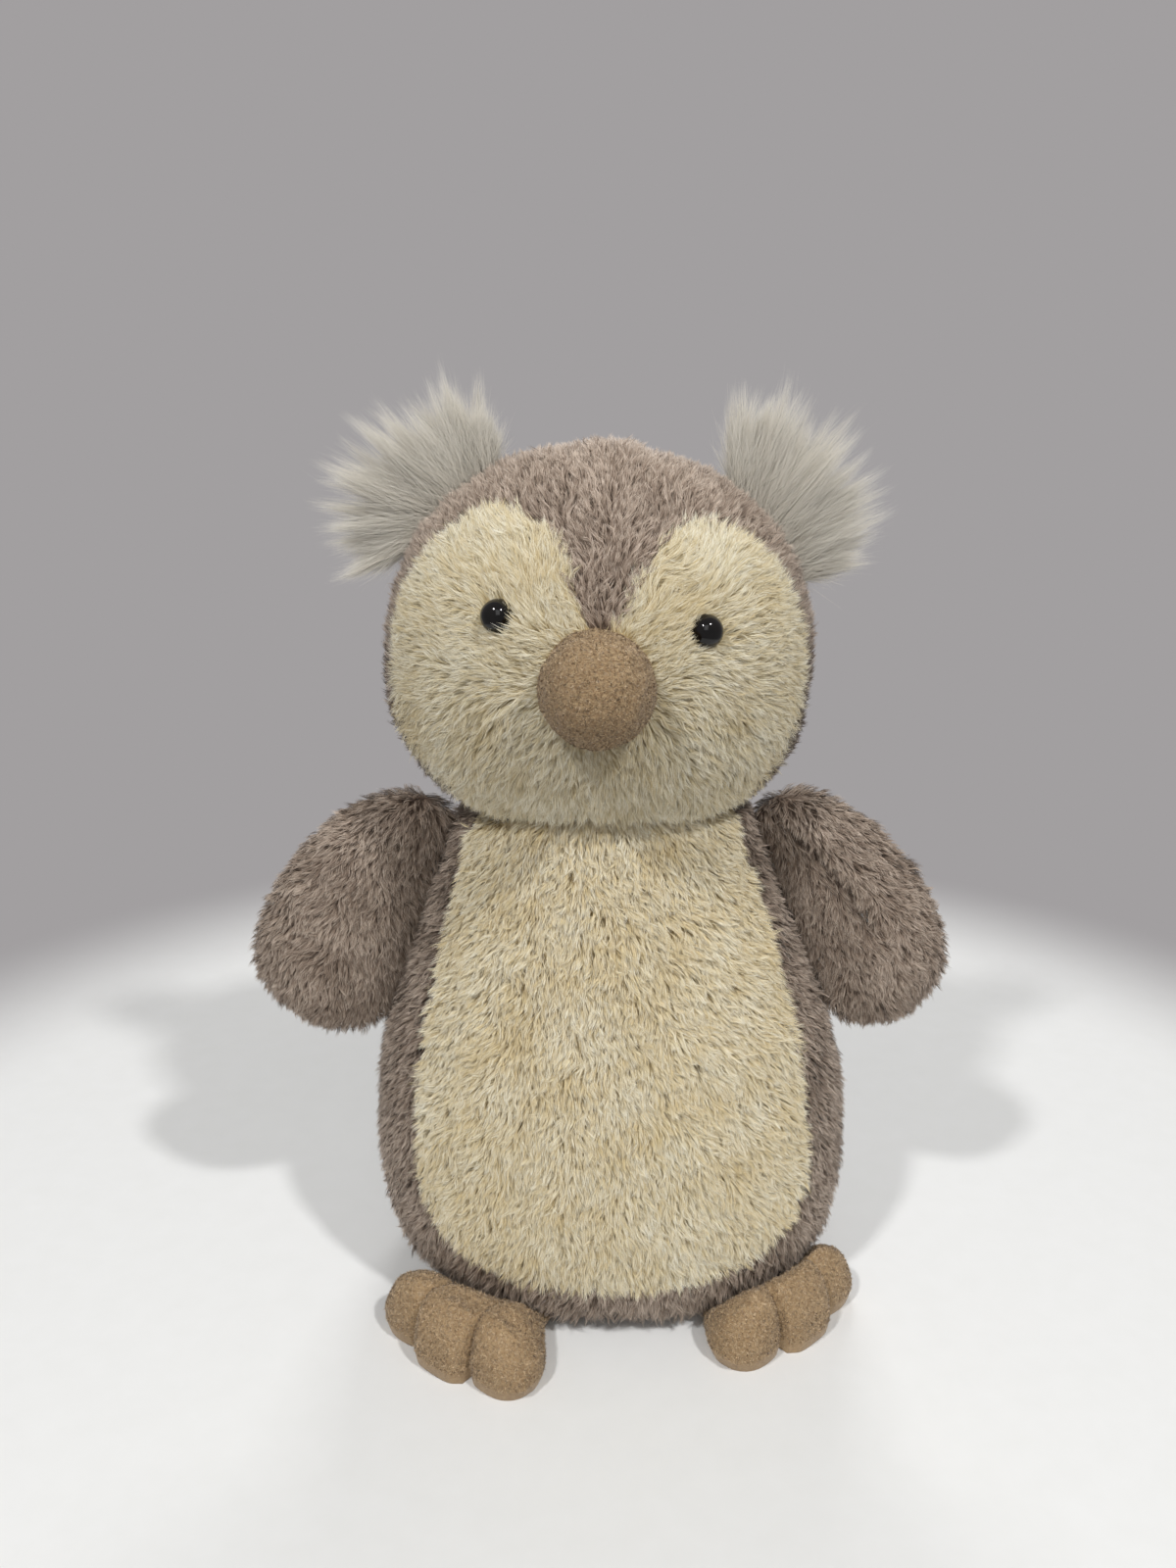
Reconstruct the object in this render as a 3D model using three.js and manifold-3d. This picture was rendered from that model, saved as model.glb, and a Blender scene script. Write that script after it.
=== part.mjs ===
// A stuffed owl that stands upright on its own base and two stubby feet.
// Its plush covers are sewn from panels, and each body, head, wing and foot holds its own stuffing.
// Millimetres, +Z up, the face towards -Y, the floor at z = 0. Left and right are as seen from the front.

import * as THREE from 'three';
import { mergeVertices } from 'three/addons/utils/BufferGeometryUtils.js';
import Module from 'manifold-3d';

const wasm = await Module();
wasm.setup();
const { degToRad, lerp, smoothstep } = THREE.MathUtils;

// Cloth and clearances
const gap = 0.3; // between pieces that touch
const plush = 7; // plush cloth, from its inside to the tips of its pile
const backing = 2; // woven backing of the plush
const suede = 1.5; // short-napped cloth of the beak and the feet
const fillSlack = 1.9; // between a plush cover and the stuffing that fills it
const footFillSlack = 1; // between the top of a foot and its stuffing

// Body: a pear that is a little fuller in front than behind
const bodyWidth = 177;
const bodyFront = 67;
const bodyBack = 65;
const bodyHeight = 200; // to the top of the pear, hidden inside the head
const bodySquareness = 2.15;
const bodyLean = 4.5; // to the left, at the top of the pear
const baseRim = 1; // lowest edge of the body's covers above the floor
// Height share, then the shares of the half width, the front depth and the back depth
const bodyShares = [
  [0, 0.715, 0.7, 0.7],
  [0.02, 0.8, 0.785, 0.785],
  [0.05, 0.88, 0.87, 0.87],
  [0.11, 0.955, 0.95, 0.95],
  [0.2, 0.993, 0.996, 0.99],
  [0.3, 1, 1, 1],
  [0.41, 0.977, 0.985, 0.985],
  [0.52, 0.921, 0.94, 0.945],
  [0.635, 0.83, 0.873, 0.885],
  [0.75, 0.729, 0.8, 0.81],
  [0.85, 0.644, 0.73, 0.74],
  [0.94, 0.593, 0.68, 0.69],
  [1, 0.565, 0.65, 0.66],
];
// Edge of the cream tummy: degrees round from the front, then the share of the neck's height
const tummyEdgeShares = [
  [0, 0.135],
  [23, 0.147],
  [40, 0.2],
  [49.5, 0.295],
  [50.5, 0.42],
  [53, 0.6],
  [58.5, 0.81],
  [61, 1],
];

// Pellet bag in the bottom of the body, which keeps the owl upright
const pelletBagWidth = 96;
const pelletBagDepth = 66;
const pelletBagHeight = 16;
const pelletBagFlatShare = 0.75; // of its width, on its top and its underside

// Neck: the head turns and nods on a ball seat round this centre
const neckHeightShare = 0.71; // of the body's height, at the middle of the balls
const neckRadius = 67;
const neckSeatGap = 1; // between the neck's balls, which turn on each other
const neckWadThickness = 6;
const neckWadWidth = 68;

// Head: a wide rounded form that sits tilted and turned a little
const headShift = -5.5; // sideways, of its middle
const headForward = 2;
const headRise = 90; // of its middle above the neck's centre
const headWidth = 145;
const headFront = 61;
const headBack = 60;
const headTop = 72;
const headBottom = 61;
const headSquareness = 2.2;
const headTilt = degToRad(4);
const headTurn = degToRad(-1);
const crownRidgeHeight = 3;
const crownRidgeWidth = 16;
const chinEdge = degToRad(57); // round from the front, where the face meets the neck
const napeEdge = degToRad(177); // round from the front, where the crown's neck edge ends
const lowestChin = degToRad(-75);
// Edge of the cream face, beside the brow point, round the eye and down the cheek:
// degrees round from the front, then degrees up from the head's middle
const faceEdge = [
  [2, 19],
  [5.5, 26],
  [10, 33],
  [15, 40],
  [24, 45],
  [37, 47.3],
  [49, 45.3],
  [57, 39.5],
  [63.5, 30],
  [68.5, 18],
  [71, 4],
  [70, -9],
  [66.5, -22],
  [62, -34],
];

// Beak: a stuffed rounded cone
const beakRadius = 17.6;
const beakReach = 19.5; // from its widest circle to its tip
const beakBulge = 3; // its widest circle stands this far off the face
const beakTail = 18; // how fast it draws in again behind that circle
const beakHeight = 5; // above the head's middle
const beakDroop = degToRad(9);

// Eyes: domed beads on stems, each held by a washer inside the cover
const eyeRadius = 5.4;
const eyeTurn = degToRad(31); // round from the front
const eyeLift = degToRad(19.5); // up from the head's middle
const eyeProud = 1.6; // in front of the pile
const eyeFlatness = 0.8; // 1 for a half ball, less for a flatter bead
const eyeStemRadius = 1.6;
const eyeStemLength = 12;
const eyeSlack = 0.4; // of the hole round the bead and the stem
const washerRadius = 7.5;
const washerThickness = 1.6;
const washerSeat = 1.2; // behind the cover, which curves round it

// Ears: fans of long fur round a cloth tab that is sewn into the crown
const earTurn = degToRad(92); // round from the front
const earTopLift = degToRad(58); // up from the head's middle
const earLowLift = degToRad(27);
const earSeat = 0.6; // above the crown
const earThickness = 17;
const earTopLength = 22;
const earMiddleLength = 37;
const leftEarLowLength = 31;
const rightEarLowLength = 24;
const earTopAim = degToRad(93); // up from level
const leftEarLowAim = degToRad(-6);
const rightEarLowAim = degToRad(19);
const earLocks = 5;
const earLockShare = 0.16; // of the fur's length, between its locks
const earTabShare = 0.3; // of the fur's length
const earTabMargin = 0.12; // of the seam's length, at each end
const earTabThickness = 1.6;

// Wings: flat stuffed drops, each sewn along the body's side
const wingTurn = degToRad(83); // round from the front
const wingTopShare = 0.905; // of the body's height, at the top of its seam
const wingLowShare = 0.52;
const wingSeat = 0.9; // off the body's side
const wingLength = 99;
const wingWidth = 49;
const wingThickness = 36;
const wingTopThicknessShare = 0.72;
const wingHemShare = 0.2; // of the width, where the two cloths meet round the stuffing
const wingEndSquareness = 4; // of its thickness towards its two ends
const wingPuffSkew = 1.25; // how far its thickest line lies towards its outer edge
const wingPuffRoundness = 0.8;
// Length share, then the shares of the width at the inner and the outer edge
const wingShares = [
  [0, 0.2, 0.2],
  [0.03, 0.02, 0.46],
  [0.1, 0, 0.66],
  [0.22, 0, 0.84],
  [0.38, 0, 0.95],
  [0.55, 0, 1],
  [0.72, 0, 0.99],
  [0.85, 0.02, 0.93],
  [0.94, 0.12, 0.79],
  [0.985, 0.26, 0.61],
  [1, 0.43, 0.43],
];

// Feet: three stuffed toes each, sewn under the front of the base
const leftFootSpread = 38; // sideways from the middle of the owl
const rightFootSpread = 48;
const footSeat = 0.3; // in front of the base's edge
const leftFootTuck = 0; // of its root under the belly
const rightFootTuck = 6.5;
const footLength = 43;
const footSeamWidth = 32;
const footToeWidth = 60;
const footThickness = 23;
const footSeamThickness = 3;
const footSetBack = 4.5; // of the outer toes
const toeScallop = 4; // how far the outline draws in between two toe tips
const footCrestShare = 0.7; // of the length, where the toes are thickest
const toeGrooveShare = 0.78; // of the thickness, at the bottom of the grooves between the toes
const footWidestShare = 0.8; // of the length
const grooveStartShare = 0.15;
const grooveFullShare = 0.6;
const leftFootSplay = degToRad(-26);
const rightFootSplay = degToRad(41);
const footBedGap = 0.4; // under the belly, which rests on the root of the foot
const footFoldGap = 0.8; // between the belly and the foot once it is folded up
const bellyRoomShares = [0, 0.01, 0.02, 0.05, 0.11, 0.2, 0.3]; // of the body's height

// How far each sewn joint gives, in degrees
const headTurnRange = 20;
const headNodRange = 10;
const wingForward = 42;
const wingBackward = 36;
const earGive = 22;
const footFoldUp = 12;
const footDropDown = 40;

// How finely the curved forms are divided
const tummyColumns = 10;
const sideColumns = 12;
const skirtRows = 4;
const backCrowding = 1.3; // how much closer the rows lie near the floor
const bodyRows = 14;
const ringSteps = 32;
const roundSteps = 14;
const beakSteps = 20;
const faceColumns = 6;
const crownColumns = 10;
const chinRows = 5;
const crownRows = 10;
const wingRows = 11;
const wingColumns = 6;
const toeSteps = 5;
const footRows = 7;
const soleRows = 2;
const earColumns = 10;
const earRows = 5;
const earTabColumns = 4;
const earTabRows = 2;
const beakRows = 9;
const eyeRows = 6;
const bodyFillRows = 11;
const headFillRows = 10;
const bedRows = 8;

const cream = { color: 0xe6dcba, roughness: 0.95, metalness: 0 };
const taupe = { color: 0x9c8a7c, roughness: 0.95, metalness: 0 };
const tan = { color: 0xb8986c, roughness: 0.85, metalness: 0 };
const whiteFur = { color: 0xc9c6bd, roughness: 0.9, metalness: 0 };
const fill = { color: 0xf2f2ee, roughness: 1, metalness: 0 };
const beadBlack = { color: 0x0b0b0c, roughness: 0.08, metalness: 0 };
const clearPlastic = { color: 0xdcdcd6, roughness: 0.35, metalness: 0 };
const pelletCloth = { color: 0xd9d5cb, roughness: 0.9, metalness: 0 };

// Reads a smooth curve through rows of [position, value, value, ...] at a position.
function readRows(rows, at) {
  let k = 0;
  while (k < rows.length - 2 && at > rows[k + 1][0]) {
    k += 1;
  }
  const [from, to] = [rows[k], rows[k + 1]];
  const before = rows[Math.max(0, k - 1)];
  const after = rows[Math.min(rows.length - 1, k + 2)];
  const span = to[0] - from[0];
  const t = (at - from[0]) / span;
  return from.slice(1).map((value, i) => {
    const column = i + 1;
    const leave = (span * (to[column] - before[column])) / (to[0] - before[0]);
    const arrive = (span * (after[column] - value)) / (after[0] - from[0]);
    const change = to[column] - value;
    const bend = 3 * change - 2 * leave - arrive;
    const twist = leave + arrive - 2 * change;
    return value + t * (leave + t * (bend + t * twist));
  });
}

// Finds where a rising function crosses zero.
function crossing(low, high, value) {
  let [from, to] = [low, high];
  for (let step = 0; step < 40; step += 1) {
    const middle = (from + to) / 2;
    if (value(middle) < 0) {
      from = middle;
    } else {
      to = middle;
    }
  }
  return (from + to) / 2;
}

// Makes one closed geometry from triangles of points, with its faces out.
function closed(triangles) {
  let raw = new THREE.BufferGeometry();
  raw.setAttribute('position', new THREE.Float32BufferAttribute(triangles.flatMap((p) => p.toArray()), 3));
  raw = mergeVertices(raw, plush / 1e5);
  const corners = Array.from(raw.index.array);
  const place = (i) => new THREE.Vector3().fromBufferAttribute(raw.attributes.position, i);
  const kept = [];
  let volume = 0;
  for (let i = 0; i < corners.length; i += 3) {
    const [a, b, c] = corners.slice(i, i + 3);
    if (a !== b && b !== c && c !== a) {
      kept.push(a, b, c);
      volume += place(a).dot(place(b).cross(place(c)));
    }
  }
  raw.setIndex(volume < 0 ? kept.reverse() : kept);
  return raw;
}

// The solid between two sheets of the same grid; edges that meet are joined, the others get a wall.
function betweenSheets(front, back, columns, rows) {
  const grid = (sheet) => {
    const points = [];
    for (let j = 0; j <= rows; j += 1) {
      points.push(Array.from({ length: columns + 1 }, (_, i) => sheet(i / columns, j / rows, i, j)));
    }
    return points;
  };
  const [near, far] = [grid(front), grid(back)];
  const triangles = [];
  const quad = (a, b, c, d) => triangles.push(a, b, c, a, c, d);
  for (let j = 0; j < rows; j += 1) {
    for (let i = 0; i < columns; i += 1) {
      quad(near[j][i], near[j][i + 1], near[j + 1][i + 1], near[j + 1][i]);
      quad(far[j][i], far[j + 1][i], far[j + 1][i + 1], far[j][i + 1]);
    }
    quad(near[j][0], near[j + 1][0], far[j + 1][0], far[j][0]);
    quad(near[j][columns], far[j][columns], far[j + 1][columns], near[j + 1][columns]);
  }
  for (let i = 0; i < columns; i += 1) {
    quad(near[0][i], far[0][i], far[0][i + 1], near[0][i + 1]);
    quad(near[rows][i], near[rows][i + 1], far[rows][i + 1], far[rows][i]);
  }
  return closed(triangles);
}

// The solid inside a stack of rings, whose first and last rings are drawn together to a point.
function insideRings(rings) {
  const triangles = [];
  for (let j = 0; j < rings.length - 1; j += 1) {
    const [low, high] = [rings[j], rings[j + 1]];
    for (let i = 0; i < ringSteps; i += 1) {
      const next = (i + 1) % ringSteps;
      triangles.push(low[i], low[next], high[next], low[i], high[next], high[i]);
    }
  }
  return closed(triangles);
}

function ring(point) {
  return Array.from({ length: ringSteps }, (_, i) => point((2 * Math.PI * i) / ringSteps));
}

function toSolid(geometry) {
  const bare = mergeVertices(new THREE.BufferGeometry()
    .setAttribute('position', geometry.attributes.position)
    .setIndex(geometry.index));
  return new wasm.Manifold(new wasm.Mesh({
    numProp: 3,
    vertProperties: new Float32Array(bare.attributes.position.array),
    triVerts: new Uint32Array(bare.index.array),
  }));
}

function toGeometry(solid) {
  const mesh = solid.getMesh();
  const geometry = new THREE.BufferGeometry();
  geometry.setAttribute('position', new THREE.BufferAttribute(mesh.vertProperties, 3));
  geometry.setIndex(new THREE.BufferAttribute(mesh.triVerts, 1));
  return geometry;
}

function cut(geometry, ...tools) {
  return toGeometry(tools.reduce((solid, tool) => solid.subtract(toSolid(tool)), toSolid(geometry)));
}

function named(name, geometry, look) {
  if (!geometry.attributes.normal) {
    geometry.computeVertexNormals();
  }
  const mesh = new THREE.Mesh(geometry, new THREE.MeshStandardMaterial({ ...look, flatShading: true }));
  mesh.name = name;
  return mesh;
}

// A body turned about a line that starts at a point and aims along a direction.
function turned(profile, steps, start, aim) {
  const geometry = new THREE.LatheGeometry(profile.map(([r, l]) => new THREE.Vector2(r, l)), steps);
  geometry.deleteAttribute('normal');
  geometry.deleteAttribute('uv');
  const stand = new THREE.Quaternion().setFromUnitVectors(new THREE.Vector3(0, 1, 0), aim);
  geometry.applyQuaternion(stand).translate(start.x, start.y, start.z);
  const points = geometry.toNonIndexed().attributes.position;
  const place = (_, i) => new THREE.Vector3().fromBufferAttribute(points, i);
  return closed(Array.from({ length: points.count }, place));
}

const leanAt = (share) => -bodyLean * share ** 2;
const neckCentre = new THREE.Vector3(leanAt(neckHeightShare), 0, neckHeightShare * bodyHeight);

// A point of the body's outside at an angle round from the front and a height share.
function bodyOutside(angle, share) {
  const [width, front, back] = readRows(bodyShares, share);
  const across = Math.sin(angle);
  const along = -Math.cos(angle);
  const square = Math.abs(across) ** bodySquareness + Math.abs(along) ** bodySquareness;
  const reach = square ** (1 / bodySquareness);
  const depth = along < 0 ? front * bodyFront : back * bodyBack;
  return new THREE.Vector3(
    (across * width * bodyWidth) / 2 / reach + leanAt(share),
    (along * depth) / reach,
    share * bodyHeight,
  );
}

// A point at a depth under the body's outside.
function underBody(angle, share, depth) {
  const step = 1e-3;
  const round = bodyOutside(angle + step, share).sub(bodyOutside(angle - step, share));
  const up = bodyOutside(angle, share + step).sub(bodyOutside(angle, share - step));
  const out = round.cross(up).normalize();
  return bodyOutside(angle, share).addScaledVector(out, -depth);
}

const offNeck = (point) => point.distanceTo(neckCentre);

// Moves a point along its ray from the neck's centre onto a ball round that centre.
function ontoNeckBall(point, radius) {
  return point.sub(neckCentre).setLength(radius).add(neckCentre);
}

// The height share at which a depth under the body's outside meets a ball of the neck.
function neckShare(angle, depth, radius) {
  const inside = (neckHeightShare + 1) / 2;
  return crossing(inside, 1 + neckHeightShare, (share) => offNeck(underBody(angle, share, depth)) - radius);
}

const baseShare = baseRim / bodyHeight;

// A cover of the body between two edges, each a list of turns round it and shares of the neck's height.
function bodyCover([from, to], columns) {
  const place = (depth) => (s, _, i, j) => {
    const radius = Math.hypot(...bodyOutside(from[j].x, from[j].y * neckHeightShare).toArray().slice(0, 2));
    const seam = Math.min(gap / 2 / radius, (to[j].x - from[j].x) / 2);
    const angle = lerp(from[j].x + seam, to[j].x - seam, s);
    const row = lerp(from[j].y, to[j].y, s);
    const top = neckShare(angle, 0, neckRadius);
    const point = underBody(angle, lerp(0, top, row), depth);
    return row === 1 ? ontoNeckBall(point, neckRadius) : point;
  };
  return betweenSheets(place(0), place(plush), columns, from.length - 1);
}

const mirrored = (edge) => edge.map(({ x, y }) => new THREE.Vector2(-x, y));

const tummyOutline = new THREE.SplineCurve(
  tummyEdgeShares.map(([turn, share]) => new THREE.Vector2(degToRad(turn), share)),
);
const tummyEdge = Array.from({ length: bodyRows + 1 }, (_, j) => tummyOutline.getPoint(j / bodyRows));

// A side's front edge: up the middle from the floor to the tummy, then along the tummy.
const skirtEdge = Array.from({ length: skirtRows }, (_, j) => {
  const top = tummyEdge[0].y - gap / bodyHeight;
  return new THREE.Vector2(0, lerp(baseShare, top, (j / (skirtRows - 1)) ** 1.4));
});
const sideEdge = [...skirtEdge, ...tummyEdge.slice(1)];
const backEdge = sideEdge.map((_, j) => {
  return new THREE.Vector2(Math.PI, lerp(baseShare, 1, (j / (sideEdge.length - 1)) ** backCrowding));
});

function bodyGroup() {
  const group = new THREE.Group();
  const tummy = bodyCover([mirrored(tummyEdge), tummyEdge], tummyColumns);
  group.add(named('body_tummy_panel', tummy, cream));
  const right = bodyCover([sideEdge, backEdge], sideColumns);
  group.add(named('body_right_panel', right, taupe));
  const left = bodyCover([mirrored(backEdge), mirrored(sideEdge)], sideColumns);
  group.add(named('body_left_panel', left, taupe));
  group.add(named('body_base_panel', basePanel(), taupe));
  group.add(named('pellet_bag', pelletBag(0), pelletCloth));
  group.add(named('body_stuffing', cut(bodyStuffing(), pelletBag(gap)), fill));
  return group;
}

const inPlane = (share, point, z) => new THREE.Vector3(point.x * share, point.y * share, z);

// The flat panel under the body, inside the lower edge of the covers.
function basePanel() {
  const rim = (angle) => underBody(angle, baseShare, plush);
  const clear = 1 - (3 * gap) / bodyFront;
  return insideRings([
    ring(() => new THREE.Vector3()),
    ring((angle) => inPlane(clear, rim(angle), 0)),
    ring((angle) => inPlane(clear, rim(angle), plush)),
    ring(() => new THREE.Vector3(0, 0, plush)),
  ]);
}

function pelletBag(slack) {
  const floor = plush + gap;
  const [low, high] = [floor - slack, floor + pelletBagHeight + slack];
  const level = (share, z) => ring((angle) => new THREE.Vector3(
    Math.sin(angle) * share * (pelletBagWidth / 2 + slack),
    -Math.cos(angle) * share * (pelletBagDepth / 2 + slack),
    z,
  ));
  return insideRings([
    level(0, low),
    level(pelletBagFlatShare, low),
    level(1, (low + high) / 2),
    level(pelletBagFlatShare, high),
    level(0, high),
  ]);
}

function bodyStuffing() {
  const depth = plush + fillSlack;
  const domeRadius = neckRadius - neckWadThickness - neckSeatGap;
  const rings = [ring(() => new THREE.Vector3(0, 0, underBody(0, baseShare, depth).z))];
  for (let j = 0; j <= bodyFillRows; j += 1) {
    rings.push(ring((angle) => {
      const top = neckShare(angle, depth, domeRadius);
      return underBody(angle, lerp(baseShare, top, (j / bodyFillRows) ** backCrowding), depth);
    }));
  }
  const edge = rings[rings.length - 1];
  for (const share of [0.66, 0.33, 0]) {
    rings.push(edge.map((point) => domePoint(point, share, domeRadius)));
  }
  return insideRings(rings);
}

// Draws a point of a ball round the neck's centre towards the top of that ball.
function domePoint(point, share, radius) {
  const flat = new THREE.Vector3(point.x * share, point.y * share, 0);
  const rise = Math.sqrt(radius ** 2 - flat.lengthSq());
  return flat.add(new THREE.Vector3(0, 0, rise)).add(neckCentre);
}

// The wad that firms the neck, between two balls round the neck's centre.
function neckWad() {
  const inner = neckRadius - neckWadThickness;
  const circle = (radius, share) => ring((angle) => {
    const rim = new THREE.Vector3(Math.sin(angle), -Math.cos(angle), 0).multiplyScalar(neckWadWidth / 2);
    return domePoint(rim, share, radius);
  });
  return insideRings([
    circle(inner, 0),
    circle(inner, 0.5),
    circle(inner, 1),
    circle(neckRadius, 1),
    circle(neckRadius, 0.5),
    circle(neckRadius, 0),
  ]);
}

const headCentre = new THREE.Vector3(headShift, -headForward, neckCentre.z + headRise);
const headPose = new THREE.Quaternion().setFromEuler(new THREE.Euler(0, headTilt, headTurn, 'ZYX'));
const fromHead = (local) => local.applyQuaternion(headPose).add(headCentre);

// A direction turned round from the front and lifted from level.
function aimOf(turn, lift) {
  return new THREE.Vector3(Math.sin(turn) * Math.cos(lift), -Math.cos(turn) * Math.cos(lift), Math.sin(lift));
}

// The head's outside along a direction from its middle, in its own axes, and the way out of it there.
function headOutside(aim) {
  const sizes = [headWidth / 2, aim.y < 0 ? headFront : headBack, aim.z > 0 ? headTop : headBottom];
  const parts = aim.toArray().map((value, i) => Math.abs(value / sizes[i]));
  const reach = parts.reduce((sum, part) => sum + part ** headSquareness, 0) ** (-1 / headSquareness);
  const out = new THREE.Vector3(...aim.toArray().map((value, i) => (
    (Math.sign(value) * parts[i] ** (headSquareness - 1)) / sizes[i]
  ))).normalize();
  const place = aim.clone().multiplyScalar(reach);
  const ridge = crownRidgeHeight * Math.exp(-((place.x / (crownRidgeWidth / 2)) ** 2));
  place.addScaledVector(out, ridge * smoothstep(aim.z, 0.45, 0.95));
  return { place, out };
}

function underHead(aim, depth) {
  const { place, out } = headOutside(aim);
  return fromHead(place.addScaledVector(out, -depth));
}

const headSeatRadius = neckRadius + neckSeatGap;

// How far up from the head's middle a depth under its outside meets the neck's seat.
function chinLift(turn, depth) {
  return crossing(lowestChin, 0, (lift) => offNeck(underHead(aimOf(turn, lift), depth)) - headSeatRadius);
}

// Directions along the face's edge, from the brow point to the neck.
const faceOutline = new THREE.SplineCurve([
  ...faceEdge.map(([turn, lift]) => new THREE.Vector2(degToRad(turn), degToRad(lift))),
  new THREE.Vector2(chinEdge, chinLift(chinEdge, 0)),
]);
const faceSteps = faceEdge.length;

function alongFace(step) {
  const { x, y } = faceOutline.getPoint(step / faceSteps);
  return aimOf(x, y);
}

function between(from, to, share) {
  const angle = from.angleTo(to);
  if (angle < 1e-6) {
    return from.clone();
  }
  const near = Math.sin((1 - share) * angle) / Math.sin(angle);
  const far = Math.sin(share * angle) / Math.sin(angle);
  return from.clone().multiplyScalar(near).addScaledVector(to, far).normalize();
}

// A panel of the head between two edges, each a list of directions; side is 1 on the right.
function headPanel(edges, seated, columns, side) {
  const [from, to] = edges;
  const place = (depth) => (s, _, i, j) => {
    const wide = from[j].angleTo(to[j]) * headFront;
    const seam = wide > gap ? gap / 2 / wide : 0;
    const aim = between(from[j], to[j], lerp(seam, 1 - seam, s));
    aim.x *= side;
    const point = underHead(aim, depth);
    const onSeat = (i === 0 && seated[0][j]) || (i === columns && seated[1][j]);
    return onSeat ? ontoNeckBall(point, headSeatRadius) : point;
  };
  return betweenSheets(place(0), place(plush), columns, from.length - 1);
}

const browLift = degToRad(faceEdge[0][1]);

// The middle of the face from the brow point down to the neck, then along the neck's edge.
function chinAim(step, side) {
  const down = faceSteps - chinRows;
  if (step <= down) {
    return aimOf(0, lerp(browLift, chinLift(0, 0), step / down));
  }
  const turn = (chinEdge * (step - down)) / chinRows;
  return aimOf(turn, chinLift(side * turn, 0));
}

function facePanel(side) {
  const steps = Array.from({ length: faceSteps + 1 }, (_, j) => j);
  const middle = steps.map((j) => chinAim(j, side));
  const corner = aimOf(chinEdge, chinLift(side * chinEdge, 0));
  const edge = steps.map((j) => (j === faceSteps ? corner : alongFace(j)));
  const onNeck = steps.map((j) => j >= faceSteps - chinRows);
  return headPanel([middle, edge], [onNeck, steps.map((j) => j === faceSteps)], faceColumns, side);
}

// The crown from the face's edge and the neck up to the seam over the middle of the head.
function crownPanel(side) {
  const rows = faceSteps + crownRows;
  const steps = Array.from({ length: rows + 1 }, (_, j) => j);
  const low = steps.map((j) => {
    if (j < faceSteps) {
      return alongFace(j);
    }
    const turn = lerp(chinEdge, napeEdge, (j - faceSteps) / crownRows);
    return aimOf(turn, chinLift(side * turn, 0));
  });
  const nape = Math.PI - chinLift(Math.PI, 0);
  const over = steps.map((j) => aimOf(0, lerp(browLift, nape, j / rows)));
  const onNeck = steps.map((j) => j >= faceSteps);
  return headPanel([low, over], [onNeck, steps.map((j) => j === rows)], crownColumns, side);
}

function headStuffing() {
  const depth = plush + fillSlack;
  const rings = [];
  const sideAt = (turn, rise) => {
    return underHead(aimOf(turn, lerp(chinLift(turn, depth), Math.PI / 2, rise)), depth);
  };
  const rim = ring((angle) => sideAt(angle, 0));
  for (const share of [0, 0.35, 0.7]) {
    rings.push(rim.map((point) => domePoint(point.clone().sub(neckCentre), share, headSeatRadius)));
  }
  for (let j = 0; j <= headFillRows; j += 1) {
    rings.push(ring((angle) => sideAt(angle, j / headFillRows)));
  }
  return insideRings(rings);
}

// The beak's line: it starts on the face and droops a little.
const beakStart = fromHead(new THREE.Vector3(0, -headFront, beakHeight));
const beakAim = new THREE.Vector3(0, -Math.cos(beakDroop), -Math.sin(beakDroop)).applyQuaternion(headPose);

// The beak inside an inset, from a root that lies behind the cover to its tip.
function beakBody(inset) {
  const root = 2 * plush;
  const back = Math.asin((root + beakBulge) / beakTail);
  const points = [];
  for (let k = 0; k <= beakRows; k += 1) {
    const swing = lerp(-back, Math.PI / 2, k / beakRows);
    const reach = swing < 0 ? beakTail : beakReach;
    const radius = Math.max(0, (beakRadius - inset) * Math.cos(swing));
    points.push([k === beakRows ? 0 : radius, beakBulge + (reach - inset) * Math.sin(swing)]);
  }
  return turned([[0, points[0][1]], ...points], beakSteps, beakStart, beakAim);
}

function eyeLine(side) {
  const { place, out } = headOutside(aimOf(side * eyeTurn, eyeLift));
  return { start: fromHead(place), aim: out.applyQuaternion(headPose) };
}

const eyeBack = backing - plush; // where the bead rests on the backing, along its line
const beadDepth = eyeProud - eyeBack;

// Half the bead's section: its flat back, its domed front and the stem behind it.
function eyeHalf(slack) {
  const stemEnd = eyeBack - eyeStemLength - slack;
  const points = [[0, stemEnd], [eyeStemRadius + slack, stemEnd], [eyeStemRadius + slack, eyeBack - slack]];
  for (let k = 0; k < eyeRows; k += 1) {
    const swing = ((k / eyeRows) * Math.PI) / 2;
    const radius = (eyeRadius + slack) * Math.cos(swing) ** eyeFlatness;
    points.push([radius, eyeBack - slack + beadDepth * Math.sin(swing)]);
  }
  return [...points, [0, eyeProud]];
}

// The hole that the bead and its stem need through the cover, open to the front.
function eyeHole(side) {
  const { start, aim } = eyeLine(side);
  const back = eyeBack - gap;
  return turned([
    [0, eyeBack - eyeStemLength],
    [eyeStemRadius + eyeSlack, eyeBack - eyeStemLength],
    [eyeStemRadius + eyeSlack, back],
    [eyeRadius + eyeSlack, back],
    [eyeRadius + eyeSlack, plush],
    [0, plush],
  ], roundSteps, start, aim);
}

const washerFront = -plush - washerSeat;

function washerRing(slack) {
  const back = washerFront - washerThickness;
  return [
    [eyeStemRadius + eyeSlack, back - slack],
    [washerRadius + slack, back - slack],
    [washerRadius + slack, washerFront + slack],
    [eyeStemRadius + eyeSlack, washerFront + slack],
    [eyeStemRadius + eyeSlack, back - slack],
  ];
}

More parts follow.
